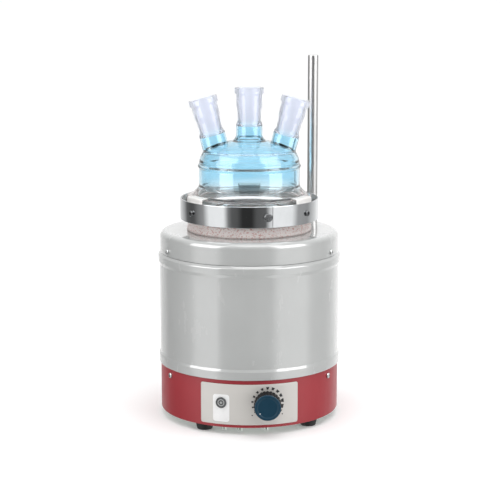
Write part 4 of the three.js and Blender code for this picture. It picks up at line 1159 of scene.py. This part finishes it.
def add_claws():
    for name in ("left", "right", "rear"):
        node = "clamp_claw_" + name
        azimuth = node_azimuth(node)
        back = CLAMP_R - 1.9 * MM
        sheet = 2 * MM
        bite = FLANGE_R - 3.9 * MM
        z0, z1 = low(node), high(node)
        outline = fillet(
            [
                (bite, z0, 0.5 * MM),
                (back, z0, 2.2 * MM),
                (back, z1, 2.2 * MM),
                (bite, z1, 0.5 * MM),
                (bite, z1 - sheet, 0.5 * MM),
                (back - sheet, z1 - sheet, 0.8 * MM),
                (back - sheet, z0 + sheet, 0.8 * MM),
                (bite, z0 + sheet, 0.5 * MM),
            ],
            0,
            5,
        )
        spread = 13.6 * MM / back
        claw = new_object("claw_fine_" + name, *sector_data(outline, azimuth - spread, azimuth + spread, 16))
        bevel(claw, 0.25 * MM, 2, 50)
        keep(claw, "vessel_set", "screw_steel", CLAW_STEEL, node)
        screw = pan_head("claw_screw_fine_" + name, HEAD_R, HEAD, SHANK_R, 6 * MM, "hex")
        moved(screw, at_azimuth(CLAMP_R + GAP, azimuth, middle("claw_screw_" + name).z))
        keep(screw, "vessel_set", "screw_steel", DARK_STEEL, "claw_screw_" + name)
    screw = pan_head("closing_screw_fine", CLOSING_HEAD_R, 2.6 * MM, 2 * MM, 5.5 * MM, "slot")
    node = "clamp_closing_screw"
    moved(screw, at_azimuth(CLAMP_R + GAP, node_azimuth(node), middle("clamp_band").z))
    keep(screw, "clamp_screw", "screw_steel", DARK_STEEL, node)


# --- support rod
def add_rod():
    z0, z1 = low("support_rod"), high("support_rod")
    radius = 6 * MM
    profile = fillet([(0, z0), (radius, z0, 0.8 * MM), (radius, z1, 1 * MM), (0, z1)], 0, 5, False)
    rod = turned("rod_fine", profile, 64, False)
    moved(rod, Matrix.Translation((ROD_AXIS.x, ROD_AXIS.y, 0)))
    keep(rod, "rod", "rod_steel", ROD_STEEL, "support_rod")


def add_rod_socket():
    """The socket's barrel and bridge, made as if in front and turned to the rod's azimuth."""
    z0, z1 = low("rod_socket"), high("rod_socket")
    radius, bore = 10.2 * MM, 6.3 * MM
    floor_z = low("support_rod") - GAP
    barrel = moved(cylinder(radius, z0, z1, 72), Matrix.Translation((0, -ROD_REACH, 0)))
    half = 7 * MM
    bridge = box("bridge", (-half, -ROD_REACH, z0), (half, -BAND_R + 3 * MM, z1))
    combine(barrel, bridge, "UNION")
    combine(barrel, cylinder(BAND_R + 0.35 * MM, z0 - MM, z1 + MM, 180))
    hole = cylinder(bore, floor_z, z1 + MM, 72)
    combine(barrel, moved(hole, Matrix.Translation((0, -ROD_REACH, 0))))
    place = Matrix.Translation((0, -ROD_REACH, middle("rod_thumb_screw").z)) @ facing_front()
    combine(barrel, moved(cylinder(2.9 * MM, 0, 14 * MM, 32), place))
    bevel(barrel, 0.7 * MM, 3, 40)
    barrel.name = "rod_socket_fine"
    moved(barrel, Matrix.Rotation(ROD_AZIMUTH, 4, "Z"))
    keep(barrel, "mantle", "grey_paint", GREY, "rod_socket")


def add_thumb_screw():
    """Shank and lobed grip, made along +Z from the rod's axis."""
    lobes, around = 6, 96
    start, length, radius = 14.2 * MM, 9 * MM, 7.5 * MM
    angles = [2 * math.pi * i / around for i in range(around)]
    edges = [(0.0, -1.2 * MM), (1.2 * MM, 0.0), (length - 1.6 * MM, 0.0), (length, -1.8 * MM)]
    rings = []
    for z, inset in fillet(edges, 1 * MM, 4, False):
        reach = [radius + inset - 0.8 * MM * (1 - math.cos(lobes * a)) for a in angles]
        rings.append([(r * math.cos(a), r * math.sin(a), start + z) for r, a in zip(reach, angles)])
    grip = stacked("grip", rings, 40)
    end, shank_r = 6.4 * MM, 2.45 * MM
    shank = [(0, end), (shank_r, end, 0.4 * MM), (shank_r, start + MM, 0), (0, start + MM)]
    combine(grip, turned("shank", fillet(shank, 0, 3, False), 40, False), "UNION", 40)
    grip.name = "thumb_screw_fine"
    height = Matrix.Translation((0, -ROD_REACH, middle("rod_thumb_screw").z))
    moved(grip, Matrix.Rotation(ROD_AZIMUTH, 4, "Z") @ height @ facing_front())
    keep(grip, "rod_screw", "black_plastic", BLACK, "rod_thumb_screw")


# --- rear
def add_connection_box():
    a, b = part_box("connection_box")
    outer = box("connection_box_fine", (a[0], a[1] - 2 * MM, a[2]), tuple(b))
    bevel(outer, 2 * MM, 4)
    wall = 2 * MM
    space_low = (a[0] + wall, a[1] - 12 * MM, a[2] + wall)
    combine(outer, box("space", space_low, (b[0] - wall, b[1] - wall, b[2] - wall)))
    combine(outer, cylinder(BAND_R + 0.4 * MM, 0, BAND_TOP, 180))
    (x0, _, z0), (x1, _, z1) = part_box("mains_inlet")
    bezel, reach = 1.7 * MM, 6 * MM
    hole_low, hole_high = (x0 + bezel, b[1] - reach, z0 + bezel), (x1 - bezel, b[1] + reach, z1 - bezel)
    combine(outer, box("hole", hole_low, hole_high))
    fuse = middle("fuse_carrier")
    place = Matrix.Translation((fuse.x, b[1], fuse.z)) @ facing_rear()
    combine(outer, moved(cylinder(5.8 * MM, -8 * MM, 8 * MM), place))
    keep(outer, "mantle", "black_plastic", BLACK, "connection_box")


def add_inlet():
    """Mains inlet: flanged body, hooded cavity and three flat pins."""
    a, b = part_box("mains_inlet")
    rear, bezel, depth = b[1], 2 * MM, 1.5 * MM
    cx, cz = (a[0] + b[0]) / 2, (a[2] + b[2]) / 2
    half_x, half_z = (b[0] - a[0]) / 2 - bezel, (b[2] - a[2]) / 2 - bezel
    corners = [(-1, -1), (1, -1), (1, 1), (-1, 1)]

    def slab(name, sx, sz, low_y, high_y, radius, chamfer=0.0):
        outline = []
        for i, j in corners:
            round_r = chamfer if chamfer and j > 0 else radius
            outline.append((cx + i * sx, -(cz + j * sz), round_r))
        return moved(prism(name, fillet(outline, radius, 5), low_y, high_y), facing_rear())

    body = slab("mains_inlet_fine", half_x + bezel, half_z + bezel, rear - depth, rear, 2.5 * MM)
    bevel(body, 0.4 * MM, 3)
    combine(body, slab("body", half_x, half_z, a[1], rear - depth / 2, 1.5 * MM), "UNION")
    wall, floor = 1.6 * MM, a[1] + 4 * MM
    combine(body, slab("cavity", half_x - wall, half_z - wall, floor, rear + MM, 1.2 * MM, 4.5 * MM))
    for x, z in ((-7, -4), (7, -4), (0, 4)):
        root = (cx + (x - 1) * MM, a[1] + 3 * MM, cz + (z - 2) * MM)
        tip = (cx + (x + 1) * MM, a[1] + 17 * MM, cz + (z + 2) * MM)
        pin = bevel(box("pin", root, tip), 0.4 * MM, 3)
        combine(body, pin, "UNION")
    keep(body, "mantle", "black_plastic", BLACK, "mains_inlet")


def add_fuse():
    a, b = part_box("fuse_carrier")
    centre = middle("fuse_carrier")
    rear = b[1]
    rim_r, rim = 6.8 * MM, 1.5 * MM
    profile = fillet([(0, -rim), (rim_r, -rim, 0.2 * MM), (rim_r, 0, 0.5 * MM), (0, 0)], 0, 4, False)
    cap = turned("fuse_carrier_fine", profile, 64, False)
    combine(cap, cylinder(5.4 * MM, a[1] - rear, -MM), "UNION")
    combine(cap, box("slot", (-4.2 * MM, -0.6 * MM, -0.8 * MM), (4.2 * MM, 0.6 * MM, MM)))
    moved(cap, Matrix.Translation((centre.x, rear, centre.z)) @ facing_rear())
    keep(cap, "fuse", "black_plastic", BLACK, "fuse_carrier")


# --- nodes kept from the frame
def finish_hidden_nodes():
    finishes = {
        "bottom_plate": ZINC,
        "potentiometer": ALUMINIUM,
        "potentiometer_nut": ZINC,
        "potentiometer_shaft": BRIGHT,
        "controller_board": BOARD,
        "triac_heat_sink": ALUMINIUM,
        "terminal_block": TERMINAL,
        "heat_shield": ALUMINIUM,
        "insulation": WOOL,
        "rod_socket_nut": ZINC,
        **{f"board_spacer_{i}": ZINC for i in (1, 2, 3)},
        **{f"shield_post_{i}": ZINC for i in (1, 2, 3)},
    }
    for node, material in finishes.items():
        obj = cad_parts[node]
        obj.data.materials.clear()
        obj.data.materials.append(material)


# --- studio
def add_floor():
    size = 60
    corners = [(-size, -size, 0), (size, -size, 0), (size, size, 0), (-size, size, 0)]
    floor = new_object("floor", corners, [[0, 1, 2, 3]])
    f = Finish("floor_white", (0.95, 0.95, 0.95), 0.8)
    f.color(f.blend(f.noise(3, 3), (0.94, 0.94, 0.94), (0.96, 0.96, 0.96)))
    f.set(Emission_Color=(1, 1, 1, 1), Emission_Strength=0.1)
    floor.data.materials.append(f.material)
    floor.visible_glossy = False


def add_area(name, azimuth, distance, z, width, height, radiance, aim_z=0.18, receivers=None):
    """A softbox of a given brightness. With receivers, it lights only those pieces."""
    data = bpy.data.lights.new(name, "AREA")
    data.shape = "RECTANGLE"
    data.size = width
    data.size_y = height
    data.energy = radiance * math.pi * width * height
    light = bpy.data.objects.new(name, data)
    a = math.radians(azimuth)
    light.location = (distance * math.sin(a), -distance * math.cos(a), z)
    direction = Vector((0, 0, aim_z)) - light.location
    light.rotation_euler = direction.to_track_quat("-Z", "Y").to_euler()
    light.visible_camera = False
    bpy.context.scene.collection.objects.link(light)
    if receivers:
        group = bpy.data.collections.new(name + "_receivers")
        for obj in receivers:
            group.objects.link(obj)
        light.light_linking.receiver_collection = group
    return light


SKY = 1.08


def add_world():
    """White to the eye. Reflections see a grey studio that is dark in front, where the camera stands."""
    world = bpy.data.worlds.new("studio")
    bpy.context.scene.world = world
    world.use_nodes = True
    tree = world.node_tree
    tree.nodes.clear()

    def node(kind, wires=(), values=(), **settings):
        """A node with its settings, the values of its inputs and what is wired to its inputs."""
        made = tree.nodes.new("ShaderNode" + kind)
        for key, value in settings.items():
            setattr(made, key, value)
        for key, value in dict(values).items():
            made.inputs[key].default_value = value
        for key, source in dict(wires).items():
            tree.links.new(source, made.inputs[key])
        return made

    split = node("SeparateXYZ", {0: node("TexCoord").outputs["Generated"]}).outputs
    back = node("Math", {0: split["Y"]}, {1: -1}, operation="MULTIPLY").outputs[0]
    angle = node("Math", {0: split["X"], 1: back}, operation="ARCTAN2").outputs[0]
    turn = node("MapRange", {"Value": angle}, {"From Min": -math.pi, "From Max": math.pi}).outputs[0]
    ramp = node("ValToRGB", {"Fac": turn})
    stops = [
        (-180, 1.1), (-150, 0.75), (-136, 0.50), (-126, 0.16),
        (-112, 0.11), (-104, 0.13), (-95, 0.26), (-82, 0.42),
        (-70, 1.25), (-43, 1.25), (-35, 0.30), (-29, 0.15), (-20, 0.125), (-11, 0.04), (4, 0.04), (12, 0.13),
        (27, 0.17), (39, 1.25), (75, 1.25), (88, 0.5), (112, 0.42), (128, 0.75), (148, 1.1), (180, 1.1),
    ]
    elements = ramp.color_ramp.elements
    while len(elements) > 1:
        elements.remove(elements[-1])
    for i, (azimuth, level) in enumerate(stops):
        position = (azimuth + 180) / 360
        element = elements[0] if i == 0 else elements.new(position)
        element.position = position
        element.color = (level, level, level, 1)
    rise = node("MapRange", {"Value": split["Z"]}, {"From Min": 0.25, "From Max": 0.75}).outputs[0]
    levels = {0: rise, 6: ramp.outputs["Color"]}
    mixed = node("Mix", levels, {7: (SKY, SKY, SKY, 1)}, data_type="RGBA").outputs[2]
    studio = node("Background", {"Color": mixed}).outputs[0]
    white = node("Background", values={"Color": (1, 1, 1, 1)}).outputs[0]
    to_camera = node("LightPath").outputs["Is Camera Ray"]
    seen = node("MixShader", {0: to_camera, 1: studio, 2: white}).outputs[0]
    node("OutputWorld", {"Surface": seen})


def add_studio():
    add_floor()
    for name, azimuth, width in (("left_softbox", -60, 1.3), ("right_softbox", 57, 1.25)):
        add_area(name, azimuth, 1.5, 1.05, width, 1.3, 3.6).visible_diffuse = False
    add_area("top_softbox", 20, 0.5, 1.7, 1.2, 1.2, 1.6)
    glassware = [bpy.data.objects["lid_glass"], bpy.data.objects["vessel_glass"]]
    add_area("left_strip", -52, 0.7, 0.16, 0.42, 0.28, 4, 0.16, glassware)
    add_area("right_strip", 62, 0.7, 0.16, 0.42, 0.28, 4, 0.16, glassware)
    add_world()
    bpy.context.scene.view_settings.view_transform = "Standard"


add_camera()
add_casing()
add_cover()
add_band()
add_panel()
add_panel_print()
add_badge()
add_knob()
add_side_screws()
add_bottom_screws()
add_feet()
add_heater()
add_vessel()
add_lid()
add_gasket()
add_clamp()
add_claws()
add_rod()
add_rod_socket()
add_thumb_screw()
add_connection_box()
add_inlet()
add_fuse()
finish_hidden_nodes()
add_studio()
